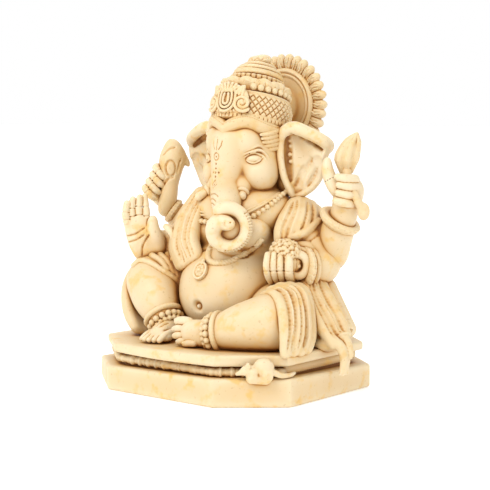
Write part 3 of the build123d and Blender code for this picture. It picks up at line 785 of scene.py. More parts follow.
def make_crown():
    def brim_line(clay):
        line = [on_crown(15.05, 0.6 - brim_wave(t), t) for t in np.linspace(-2.0, 2.0, 70)]
        clay.tube(with_radius(clay.settle(line), 0.22), 0.3, cut=True)

    crown_piece("crown_brim", "crown_brim",
                [(12.6, -3.2), (14.2, -2.2), (15.0, -0.8), (15.1, 0.4), (14.4, 1.5), (13.2, 2.0)],
                None, brim_wave, 0.4, brim_line)

    def band_beads(clay):
        for level, radius, count in ((2.6, 14.8, 56), (11.7, 13.5, 0)):
            rim = [(radius - 1.2, level - 0.8), (radius, level - 0.6), (radius + 0.1, level + 0.5),
                   (radius - 1.2, level + 0.8)]
            carve = notches(count, 0.8) if count else None
            clay.add(lathe(crown_foot, crown_foot + crown_rise, rim, carve, 0.15), 0.15)

    crown_piece("lattice_band", "crown_lattice_band",
                [(13.0, 1.2), (14.2, 1.8), (14.9, 4.4), (14.9, 8.4), (14.1, 10.8), (12.6, 12.4)],
                diamonds, None, 0.2, band_beads)

    def collar_leaves(clay):
        for n, turn in enumerate(np.linspace(-2.5, 2.5, 17)):
            out = unit(on_crown(1, 0, turn) - crown_foot)
            along = unit(np.cross(crown_rise, out))
            height = 15.4 + 0.35 * math.sin(2.2 * n)
            clay.add(ball(on_crown(12.4, height, turn), (0.9, 2.1, 2.0), (out, along, crown_rise)), 0.2)
            rib = [(*on_crown(13.3, height - 1.2, turn), 0.3), (*on_crown(13.5, height + 1.4, turn), 0.3)]
            clay.tube(rib, 0.2, cut=True)

    crown_piece("crown_collar", "crown_lower_tier",
                [(11.2, 11.8), (12.2, 12.8), (12.3, 14.4), (12.9, 15.8), (12.2, 17.2), (10.0, 17.8)],
                lambda turn, rise: 0.45 * np.sin(turn * 11) * np.clip((rise - 13) / 3, 0, 1),
                lambda turn: 0.35 * np.sin(turn * 11 + 1.0), 0.3, collar_leaves)

    def turban(clay):
        ring = [(8.2, 17.6), (9.8, 17.8), (10.0, 19.4), (8.4, 19.7)]
        clay.add(lathe(crown_foot, crown_foot + crown_rise, ring, notches(30, 0.75, 0.2), 0.2), 0.15)
        for level, radius, lean in ((20.3, 9.0, 0.5), (21.3, 8.6, 0.1), (22.3, 8.0, 0.6),
                                    (23.3, 7.0, -0.2), (24.2, 5.8, 0.4)):
            loop = [(*on_crown(radius + 0.15 * math.sin(3 * t), level + lean * math.sin(t + 0.5), t), 0.72)
                    for t in np.linspace(0, 2 * math.pi, 34)]
            clay.tube(loop, 0.05)

    crown_piece("turban_top", "crown_upper_tier",
                [(8.4, 17.2), (9.2, 18.4), (8.6, 20.6), (7.4, 22.6), (5.0, 24.6)], None, None, 0.3, turban)

    tip = finial_middle + crown_rise * 0.7 + quarter(0.6, 0, 0)
    clay = Clay(tip - 7, tip + 7, FINE)
    clay.add(ball(tip + vec(0.3, 0, 0.2), (4.4, 3.9, 2.3),
                  (vec(0.98, 0, 0.2), vec(0, 1, 0), vec(-0.2, 0, 0.98))))
    clay.add(ball(tip + vec(-1.9, -0.8, 0.1), (2.7, 2.6, 2.0)), 0.5)
    for turn in (-1.1, -0.4, 0.3, 1.0):
        crease = clay.project([tip + vec(5 * math.sin(turn) + a, -8, 2.4 * math.cos(a) - 1)
                               for a in np.linspace(-1, 1, 7)], (0, 1, 0))
        clay.tube(with_radius(crease, 0.3), 0.3, cut=True)
    clay.add(limb(np.append(tip - crown_rise * 4.2, 3.6), np.append(tip - crown_rise * 1.7, 2.9)), 0.5)
    piece("finial_bun", "resin_ornament", ["finial"], clay)

    clay = clay_round("crown_pearls", 3, FINE)
    for n in range(9):
        for side in (-1, 1):
            turn = side * (0.62 + 0.21 * n)
            clay.add(ball(on_crown(12.9, 14.1, turn), 1.35 - 0.04 * n))
            clay.add(ball(on_crown(12.2, 13.4, turn + 0.1 * side), 0.7), 0.2)
    piece("collar_pearls", "resin_ornament", ["crown_pearls"], clay)
    make_crest()


def make_crest():
    """Front badge: nested upright loops between two scrolls, under a fan."""
    clay = clay_round("crown_crest", 4, FINE)

    def spot(a, b, lift=0.0):
        return on_crown(15.0 + lift, 7.4 + b, a / 15.0)

    def trace(plan, radius, lift=0.35, blend=0.05):
        clay.tube([(*spot(a, b, lift + 0.45), radius) for a, b in plan], blend)

    clay.add(ball(spot(0, 0.6, -1.6), (8.6, 2.2, 6.4), (vec(1, 0, 0), crown_front, crown_rise)))
    for reach, high in ((1.1, 2.6), (2.4, 4.2), (3.7, 5.2)):
        legs = [(-reach * 0.75, high), (-reach, high * 0.5), (-reach, 0)]
        bend = [(-reach * math.cos(t), -1.5 * reach * math.sin(t) * 0.7)
                for t in np.linspace(0, math.pi, 9)]
        trace(curve(legs + bend[1:-1] + [(reach, 0), (reach, high * 0.5), (reach * 0.75, high)], 30), 0.5,
              0.55)
    for side in (-1, 1):
        swirl = [
            (side * (6.6 - r * math.cos(t)), -0.6 + r * math.sin(t))
            for t, r in zip(np.linspace(-2.4, 7.6, 34), np.linspace(3.1, 0.9, 34))
        ]
        trace(swirl, 0.62, 0.6)
        clay.add(ball(spot(side * 6.6, -0.6, 0.9), 0.85))
        for n, lean in enumerate((0.55, 0.95, 1.35)):
            frond = [(side * (3.9 + n * 1.1 + 1.3 * t * math.cos(lean)),
                      3.0 - n * 0.35 + 3.4 * t * math.sin(lean)) for t in (0, 0.5, 1)]
            trace(curve(frond, 6), 0.75 - 0.08 * n, 0.4)
    for lean in np.linspace(-0.9, 0.9, 7):
        rib = [(math.sin(lean) * r, 3.6 + math.cos(lean) * (r - 2.6) * 1.0) for r in (2.8, 4.2, 5.6)]
        trace(rib, 0.62, 0.2)
    for a in np.linspace(-5, 5, 9):
        clay.add(ball(spot(a, -3.9 + 0.04 * a * a, 0.2), 0.62), 0.1)
    piece("crown_crest", "resin_ornament", ["crown_crest"], clay)


def make_halo():
    centre = middle("halo_petals") + vec(0.6, 0, 1.4)
    low, high = limits("halo_petals") + np.array([(-2.5, -1, -2.5), (2.5, 1, 3.5)])
    disc = 13.6
    clay = Clay(low - vec(0, 14, 0), high + 2, FINE)
    rim = [
        (disc - 0.6, -1.8), (disc, -1.0), (disc, 1.3), (disc - 0.8, 2.1), (disc - 1.6, 1.3),
        (disc - 2.4, 1.9), (disc - 3.2, 1.0), (disc - 4.2, 1.1),
    ]
    clay.add(lathe(centre, centre - vec(0, 1, 0), rim, None, 0.3))
    clay.add(lathe(centre, centre + vec(0, 1, 0), [(disc - 1, -1), (disc - 1.2, 1.6), (disc - 4, 2.2)],
                   None, 0.3), 0.5)
    clay.tube([(*(centre + vec(0, -1, -0.6)), 6.8), (*(centre + vec(0, -11, -1.6)), 6.2)], 1.5)
    piece("halo_disc", "resin_ornament", ["halo_plate"], clay)

    clay = Clay(low - 2, high + 2, FINE)
    count = 30
    for n in range(count):
        turn = 2 * math.pi * (n + 0.5) / count
        outward = vec(math.sin(turn), 0, math.cos(turn))
        aside = vec(math.cos(turn), 0, -math.sin(turn))
        sway = 0.5 * math.sin(n * 2.1)
        mid = centre + outward * (disc + 2.2)
        axes = (outward, vec(0, 1, 0), aside)
        clay.add(ball(mid + vec(0, sway * 0.5, 0), (3.5, 1.9, 1.7), axes), 0.05)
        clay.add(ball(mid + outward * 1.2 + aside * sway * 0.5, (2.0, 2.1, 1.6), axes), 0.9)
        for lean in (-0.55, 0.6):
            fold = clay.project([mid + outward * r + aside * (lean + 0.35 * math.sin(r * 1.3 + n)) - vec(0,
                                                                                                         8, 0)
                                 for r in np.linspace(-2.2, 1.9, 6)], (0, 1, 0))
            clay.tube(with_radius(fold, 0.3), 0.25, cut=True)
    clay.add(lathe(centre - vec(0, 0.9, 0), centre + vec(0, 1, 0), [(disc + 1.6, 0.2), (disc + 1.6, 1.6)],
                   None, 0.2), 0.3)
    piece("halo_frill", "resin_ornament", ["halo_petals"], clay)


# ---------------------------------------------------------------- arms and hands
def hoop(centre, normal, radius, count=30, start=0.0, end=2 * math.pi):
    normal = unit(normal)
    across = unit(np.cross(normal, vec(0.31, 0.17, 0.93)))
    up = np.cross(normal, across)
    return [np.asarray(centre) + radius * (math.cos(t) * across + math.sin(t) * up)
            for t in np.linspace(start, end, count)]


def wrinkles(clay, path, places, size=0.4, cut=True):
    """Rings pressed round a limb, each settled onto its surface."""
    rows = curve(path, 60)
    for place in places:
        i = min(int(place * 59), 57)
        spot, normal = rows[i][:3], rows[i + 1][:3] - rows[i][:3]
        line = clay.settle(hoop(spot, normal, rows[i][3]), 0.05)
        wobble = np.sin(np.linspace(0, 2 * math.pi, len(line)) * 2 + place * 20) * 0.25
        line = line + unit(normal) * wobble[:, None]
        clay.tube(with_radius(line, size), size, cut=cut)


def make_arms():
    right_front = [(-19, 9, 60, 7.4), (-26, 9.5, 51, 6.8), (-30, 6, 46.2, 6.0), (-32.4, -2.5, 48.2, 5.0)]
    right_rear = [(-20, 13, 61, 7.2), (-27, 15, 53, 6.2), (*quarter(-17.8, 55.0, -30.5), 4.8),
                  (*quarter(-22.4, 61.2, -30.2), 3.5)]
    left_front = [(19, 9, 61, 7.2), (27, 11.5, 52, 6.9), (31.8, 12, 45.5, 6.0), (31.2, 6, 44.5, 4.8)]
    left_rear = [(20, 14, 61, 7.2), (29.5, 15.8, 54.5, 6.4), (33.6, 15.6, 48.6, 4.8),
                 (38.2, 14.6, 59.0, 4.6)]
    for name, path in (("right_front_arm", right_front), ("right_rear_arm", right_rear),
                       ("left_front_arm", left_front), ("left_rear_arm", left_rear)):
        rows = np.array(path)
        clay = Clay(rows[:, :3].min(0) - 10, rows[:, :3].max(0) + 10)
        clay.tube(path, 2.5, 16)
        if name == "left_rear_arm":
            clay.tube(quartered([(34.6, 45.6, 10, 3.6), (36.4, 52.5, 11.5, 4.9), (38.4, 59.6, 13.4, 5.6)]),
                      1.5, 8)
        if name.startswith("right"):
            wrinkles(clay, path, (0.2, 0.3, 0.4, 0.52, 0.62), 0.45)
            wrinkles(clay, path, (0.25, 0.46), 0.5, cut=False)
        else:
            wrinkles(clay, path, (0.2, 0.34), 0.4)
        if name == "right_front_arm":
            clay.tube(quartered([(-25.2, 57.4, -9, 1.3), (-22.6, 54.6, -6.6, 1.4), (-21.6, 50.2, -5.4, 1.4),
                                 (-22.4, 45.6, -5.0, 1.2)]), 0.2, 10)
            cord = quartered([(-24.2, 57.0, -15, 0.8), (-21.6, 54.0, -13.6, 0.8),
                              (-21.0, 49.0, -13.2, 0.8)])
            clay.tube(cord, 0.2, 8)
        piece(name, "resin_skin", [name], clay)


def cuff_ribs(turn, rise):
    """Fine ribs round the hand's end of a cuff."""
    return 0.3 * stripe(turn * 20 / (2 * math.pi), 0.2) * (rise > 0.2)


def make_cuffs():
    bands = [(0.2, -2.6), (1.4, -2.2), (1.7, -1.2), (0.9, -0.4), (0.9, 0.2), (1.8, 1.0), (1.6, 2.0),
             (0.3, 2.5)]
    flange = [(-0.6, -2.2), (0.9, -1.4), (2.0, -0.4), (2.3, 0.8), (1.5, 1.4), (-0.6, 0.9)]
    for name, wrist, aim, radius, outline in (
        ("right_front_cuff", (-32.6, -3.2, 48.4), (-0.15, -1, 0.25), 4.7, bands),
        ("right_rear_cuff", quarter(-22.4, 61.2, -29.4), quarter(-0.82, 0.57, 0), 3.0, bands),
        ("left_front_cuff", (30.6, 4.6, 44.8), (-0.3, -0.9, 0.1), 5.2, bands),
        ("left_rear_cuff", quarter(38.6, 61.4, 13.8), quarter(0.42, 0.84, 0.32), 5.4, flange),
    ):
        wrist, aim = vec(*wrist), unit(vec(*aim))
        clay = Clay(wrist - 11, wrist + 11, FINE)
        outline = [(r + radius, h) for r, h in outline]
        clay.add(lathe(wrist, wrist + aim, outline, cuff_ribs, 0.35))
        piece(name, "resin_ornament", [name], clay)


def finger(clay, rows, creases=(0.36, 0.66), blend=0.3):
    """Round finger with pressed joints on its outer side."""
    clay.tube(quartered(rows), blend, 12)
    path = curve(quartered(rows), 30)
    for place in creases:
        i = int(place * 29)
        line = hoop(path[i][:3], path[i + 1][:3] - path[i][:3], path[i][3] * 1.02, 14)
        clay.tube(with_radius(line, 0.16), 0.25, cut=True)


def make_right_front_hand():
    clay = clay_round("right_front_hand", 6, FINE)
    facing = quarter(0, 0, 1)
    palm = np.array(quartered([(-31.4, 48.2, -14.0, 6.3), (-33.4, 52, -13.8, 6.3),
                               (-35.9, 57.2, -13.6, 5.4)]))
    clay.tube(palm, 1.0, 8, thin=1.75, face=facing)
    clay.tube([(-32.2, -3.0, 47.6, 4.6), (*quarter(-31.6, 47.6, -14.5), 4.6)], 1.5)
    clay.add(ball(quarter(-28.9, 50.6, -12.2), (2.9, 2.6, 5.6),
                  (quarter(1, 0.0, 0), facing, vec(0, 0, 1))), 1.6)
    finger(clay, [(-29.2, 52.6, -11.8, 2.4), (-30.3, 56.6, -11.2, 1.9), (-30.4, 60.2, -11.2, 1.3)], (0.6,),
           1.0)
    finger(clay, [(-39.4, 56.6, -13.0, 1.7), (-40.6, 61.5, -12.4, 1.55), (-40.2, 66.0, -11.8, 1.3)])
    finger(clay, [(-37.4, 57.6, -13.1, 1.55), (-38.4, 62.8, -12.8, 1.45), (-38.0, 67.6, -12.4, 1.2)])
    finger(clay, [(-35.2, 58.0, -13.1, 1.55), (-35.8, 63.4, -12.9, 1.45), (-35.4, 68.3, -12.6, 1.2)])
    finger(clay, [(-32.9, 57.4, -13.2, 1.55), (-33.1, 63.0, -13.3, 1.4), (-33.6, 68.6, -13.6, 1.1)])
    for line in ([(-40.6, 53.6), (-37.0, 54.6), (-33.6, 56.8)],
                 [(-40.0, 51.2), (-36.6, 52.4), (-33.8, 54.2)],
                 [(-34.6, 46.4), (-34.2, 50.0), (-31.9, 54.2)]):
        path = clay.project([quarter(a, h, -2.0) for a, h in curve(line, 12)], quarter(0, 0, -1))
        clay.tube(with_radius(path, 0.36), 0.4, cut=True)
    piece("right_front_hand", "resin_skin", ["right_front_hand"], clay)


def make_right_rear_hand():
    clay = clay_round("right_rear_hand", 6, FINE)
    clay.add(ball(quarter(-29.0, 70.8, -32.0), (4.8, 3.4, 6.0),
                  (quarter(1, 0, 0), quarter(0, 0, 1), vec(0, 0, 1))))
    clay.tube([(*quarter(-22.8, 61.8, -30.5), 3.4), (*quarter(-27.4, 67.0, -31.5), 3.9)], 1.5)
    for across, height in ((-34.2, 70.8), (-32.7, 73.4), (-31.2, 76.0), (-30.0, 78.8)):
        finger(clay, [(across + 0.6, height + 0.2, -30.2, 1.6), (across, height, -27.2, 1.5),
                      (across + 2.4, height - 2.9, -25.8, 1.35), (across + 3.8, height - 4.0, -26.2,
                                                                  1.0)], (0.5,), 0.2)
    piece("right_rear_hand", "resin_skin", ["right_rear_hand"], clay)

    clay = clay_round("axe", 7, FINE)
    shaft = quartered([(-26.6, 62.6, -28.0, 2.8), (-25.4, 67, -27.6, 3.2), (-24.6, 73, -27.6, 3.0),
                       (-24.4, 77.5, -28.2, 4.0),
                       (-23.9, 82, -28.8, 4.7), (-23.6, 85.8, -29.4, 3.5), (-24.1, 88.2, -30, 1.7)])
    clay.tube(shaft, 0.8, 26)
    clay.add(ball(quarter(-22.6, 82.6, -29.8), (4.3, 3.4, 4.4),
                  (quarter(1, 0, 0), quarter(0, 0, 1), vec(0, 0, 1))), 1.2)
    clay.tube(quartered([(-20.4, 83.6, -30, 1.6), (-18.8, 81.6, -30, 1.3), (-17.7, 79.9, -30, 0.7)]), 0.5,
              6)
    view = quarter(0, 0, -1)
    oval = [quarter(-24.2 + 2.0 * math.cos(t), 78.8 + 3.0 * math.sin(t), -15)
            for t in np.linspace(0, 2 * math.pi, 26)]
    clay.tube(with_radius(clay.project(oval, view), 0.42), 0.4, cut=True)
    for a, b in (((-27.4, 84), (-22.6, 87.0)), ((-21.6, 77), (-20.2, 82)), ((-27.4, 72), (-23.2, 75.4))):
        bend = curve([a, ((a[0] + b[0]) / 2, (a[1] + b[1]) / 2 + 0.8), b], 10)
        line = clay.project([quarter(x, z, -15) for x, z in bend], view)
        clay.tube(with_radius(line, 0.35), 0.5, cut=True)
    piece("axe", "resin_ornament", ["axe"], clay)


def make_left_rear_hand():
    clay = clay_round("left_rear_hand", 6, FINE)
    clay.tube([(39.6, 13.8, 61.0, 4.6), (41.0, 14.2, 66.5, 4.3), (42.6, 14.2, 72.6, 5.2)], 1.5, 8)
    for height, out in ((67.6, 0.0), (70.4, 0.9), (73.3, 1.2), (76.1, 0.6)):
        rows = [(46.0 + out, height + 0.2, 18.5 - 0.5, 1.9), (47.0 + out, height + 0.6, 21.5, 1.75),
                (44.0 + out, height + 1.0, 24.4, 1.65), (40.8 + out, height + 1.6, 24.2, 1.35)]
        clay.tube(quartered([(a - 4.0, h, d - 3.0, r) for a, h, d, r in rows]), 0.25, 12)
    finger(clay, [(37.4, 72.6, 17.5, 2.4), (35.2, 76.4, 17.0, 2.1), (34.0, 80.0, 16.0, 1.8),
                  (34.0, 83.4, 15.4, 1.1)], (0.35,), 1.0)
    piece("left_rear_hand", "resin_skin", ["left_rear_hand"], clay)

    clay = clay_round("lotus", 6, FINE)
    clay.tube([(49.4, 13.6, 65.0, 1.5), (46.8, 11.6, 71.0, 1.5), (43.6, 12.0, 77.0, 1.5),
               (41.4, 14.0, 81.0, 1.7)], 0.3, 14)
    clay.add(ball(vec(49.4, 13.4, 65.4), (2.2, 1.3, 3.2),
                  (vec(0.77, 0.63, 0), vec(0.63, -0.77, 0), vec(0, 0, 1))), 0.5)
    spine = curve([(41.0, 14.4, 79.6), (41.3, 14.5, 84.5), (43.0, 14.7, 89.2), (45.2, 14.9, 93.0)], 12)
    share = np.linspace(0, 1, 12)
    clay.tube(with_radius(spine, np.interp(share, [0, 0.3, 0.6, 1], [2.0, 3.9, 3.4, 0.6])), 0.4)
    for turn in np.linspace(0, 2 * math.pi, 8)[:-1]:
        swell = np.interp(share, [0, 0.3, 0.7, 1], [1.6, 3.5, 2.7, 0.2])
        side = vec(math.cos(turn), math.sin(turn), 0)
        clay.tube(with_radius(spine + side * swell[:, None],
                              np.interp(share, [0, 0.4, 1], [1.1, 1.35, 0.5])), 0.05)
    piece("lotus_bud", "resin_ornament", ["lotus"], clay)


def make_left_front_hand():
    clay = clay_round("left_front_hand", 7, FINE)
    facing = quarter(0, 0, 1)
    clay.add(ball(quarter(18.0, 44.6, 17.5), (6.8, 5.6, 5.2), (quarter(1, 0, 0), facing, vec(0, 0, 1))))
    for across, lean, size in ((12.3, 0.2, 1.25), (14.6, 0.1, 1.25), (16.9, 0.0, 1.25), (19.8, -0.3, 1.6)):
        rows = [(across + 1.4, 40.2, 20.0, size * 0.9), (across + 0.3, 43.0, 23.0, size),
                (across - lean, 46.6, 23.8, size),
                (across + 0.2, 50.2, 22.6, size * 0.85)]
        finger(clay, rows, (0.5,), 0.2)
    ring = [quarter(23.4 + 3.0 * math.cos(t), 46.2 + 3.6 * math.sin(t), 20.6)
            for t in np.linspace(0, 2 * math.pi, 28)]
    clay.tube(with_radius(ring, 1.7), 0.4)
    clay.cut(ball(quarter(23.3, 46.2, 22.4), (2.0, 3.2, 2.5), (quarter(1, 0, 0), facing, vec(0, 0, 1))),
             0.4)
    clay.add(ball(quarter(23.5, 46.0, 21.0), 1.0))
    roll = quartered([(23.6, 53.2, 15.5, 1.7), (27.6, 51.8, 15.0, 2.2), (29.8, 47.6, 14.8, 2.3),
                      (28.4, 42.6, 15.2, 2.2),
                      (23.8, 39.8, 17.4, 1.8), (18.6, 40.0, 18.6, 1.2)])
    clay.tube(roll, 0.4, 26)
    inner = quartered([(24.6, 51.4, 18.0, 1.2), (27.4, 49.6, 18.0, 1.4), (28.0, 46.2, 18.0, 1.4),
                       (26.4, 42.4, 18.4, 1.3)])
    clay.tube(inner, 0.3, 16)
    piece("left_front_hand", "resin_skin", ["left_front_hand"], clay)

    clay = clay_round("sweet_bowl", 4, FINE)
    base = quarter(19.0, 43.0, 17.6)
    clay.add(lathe(base, base + vec(0, 0, 1), [(4.4, 0), (5.6, 2.4), (6.0, 4.6), (5.6, 5.6)],
                   notches(18, 0.35), 0.4))
    piece("sweet_bowl", "resin_ornament", ["sweet_bowl"], clay)

    clay = clay_round("sweets", 4, FINE)
    heap = quarter(18.9, 50.4, 18.6)
    clay.add(ball(heap, (5.4, 5.0, 4.6)))
    golden = math.pi * (3 - math.sqrt(5))
    for n in range(125):
        rise = 1 - 1.25 * (n + 0.5) / 125
        spread = math.sqrt(max(1 - rise * rise, 0))
        turn = golden * n + 0.16 * math.sin(n * 5.3)
        grain = vec(math.cos(turn) * spread, math.sin(turn) * spread, rise + 0.05 * math.sin(n * 3.7))
        clay.add(ball(heap + grain * vec(5.4, 5.0, 4.6), 0.72 + 0.22 * math.sin(n * 2.7)), 0.1)
    piece("sweets", "resin_ornament", ["sweets"], clay)


# ---------------------------------------------------------------- legs
def make_legs():
    clay = clay_round("right_leg", 6)
    clay.tube([(-13, 5, 30, 9.5), (-24, -3, 36, 9.0), (-31.5, -10.5, 37.0, 8.6)], 3.0, 8)
    clay.add(ball(vec(-30.2, -12.0, 36.4), (8.6, 8.8, 8.8)), 3.0)
    clay.tube([(-29.4, -12.6, 36.2, 8.4), (-23.5, -16.6, 31.4, 7.8), (-18.0, -19.2, 26.2, 5.4),
               (-15.4, -20.0, 23.0, 4.4)], 2.5, 10)
    piece("right_leg", "resin_skin", ["right_leg"], clay)

    clay = clay_round("left_leg", 6)
    clay.tube([(13, 5, 28, 9.5), (24, -4, 28.5, 9.4), (32, -13, 27.4, 9.4)], 3.0, 8)
    clay.add(ball(vec(31.0, -15.6, 27.3), (9.0, 10.4, 9.4)), 3.0)
    clay.tube([(30.5, -16.6, 27.2, 9.3), (22.5, -21.8, 25.4, 7.4), (15.5, -24.6, 23.4, 5.2),
               (12.0, -25.2, 22.8, 4.5)], 2.5, 10)
    piece("left_leg", "resin_skin", ["left_leg"], clay)

    clay = clay_round("right_foot", 6, FINE)
    clay.tube([(-14.2, -19.4, 22.6, 3.9), (-13.0, -23.4, 21.0, 3.8), (-11.8, -27.2, 19.9, 3.3)], 1.0, 8)
    clay.add(ball(vec(-11.6, -27.4, 19.6), (5.4, 4.0, 2.5)), 1.2)
    for n, reach in enumerate((5.0, 5.8, 5.6, 4.9, 4.1)):
        x = -15.8 + n * 1.95
        clay.tube([(x + 0.9 - 0.2 * n, -25.6, 21.1, 1.25), (x, -29.4, 20.1, 1.2),
                   (x - 0.3, -28.2 - reach * 0.8, 18.7, 1.0)],
                  0.15, 9)
    for n in range(4):
        x = -14.6 + n * 1.9
        tendon = clay.project([(x + 0.5 * (1 - t), -24.4 - 4.0 * t, 30) for t in np.linspace(0, 1, 6)],
                              (0, 0, -1))
        clay.tube(with_radius(tendon, 0.28), 0.4, cut=True)
    piece("right_foot", "resin_skin", ["right_foot"], clay)

    clay = clay_round("left_foot", 6, FINE)
    clay.tube([(11.6, -25.2, 22.6, 4.5), (7.0, -26.2, 22.4, 4.3), (3.0, -26.8, 22.6, 3.9)], 1.0, 8)
    clay.tube([(9.5, -28.0, 20.4, 2.6), (4.0, -28.4, 20.8, 2.8)], 1.2)
    for root, tip, size in (
        ((2.4, -27.2, 26.0), (-3.0, -27.2, 25.8), 1.65), ((0.8, -28.6, 23.5), (-3.4, -28.6, 23.0), 1.3),
        ((1.4, -29.4, 21.3), (-2.4, -29.6, 20.8), 1.2), ((3.2, -30.0, 19.6), (-0.2, -30.2, 18.9), 1.15),
        ((7.6, -30.4, 19.2), (3.4, -30.8, 18.6), 1.2),
    ):
        middle_toe = (vec(*root) + vec(*tip)) / 2 - vec(0, 0.3, -0.2)
        clay.tube([(*root, size), (*middle_toe, size * 1.02), (*tip, size * 0.9)], 0.25, 9)
        nail = vec(*tip) + vec(0.1, -size * 0.75, size * 0.3)
        clay.add(ball(nail, (size * 0.55, 0.4, size * 0.42)), 0.1)
    piece("left_foot", "resin_skin", ["left_foot"], clay)

    for side, spot, aim, radius in (
        ("right", (-16.2, -19.2, 24.2), (-0.6, 0.22, 0.66), 4.6),
        ("left", (13.2, -25.0, 22.9), (0.93, 0.25, 0.12), 5.0),
    ):
        spot, aim = vec(*spot), unit(vec(*aim))
        clay, leg = Clay(spot - 12, spot + 12, FINE), clay_of(f"{side}_leg")
        for shift, size, count in ((-2.6, 0.95, 20), (-0.7, 1.15, 17)):
            ring = leg.settle(hoop(spot + aim * shift, aim, radius, count + 1)[:-1], 0.35)
            clay.beads(ring, size, 0.25)
        loop = leg.settle(hoop(spot + aim * 1.7, aim, radius + 0.6, 40), 0.3)
        clay.tube(with_radius(loop, 0.95), 0.2)
        piece(f"{side}_anklet", "resin_ornament", [f"{side}_anklet"], clay)


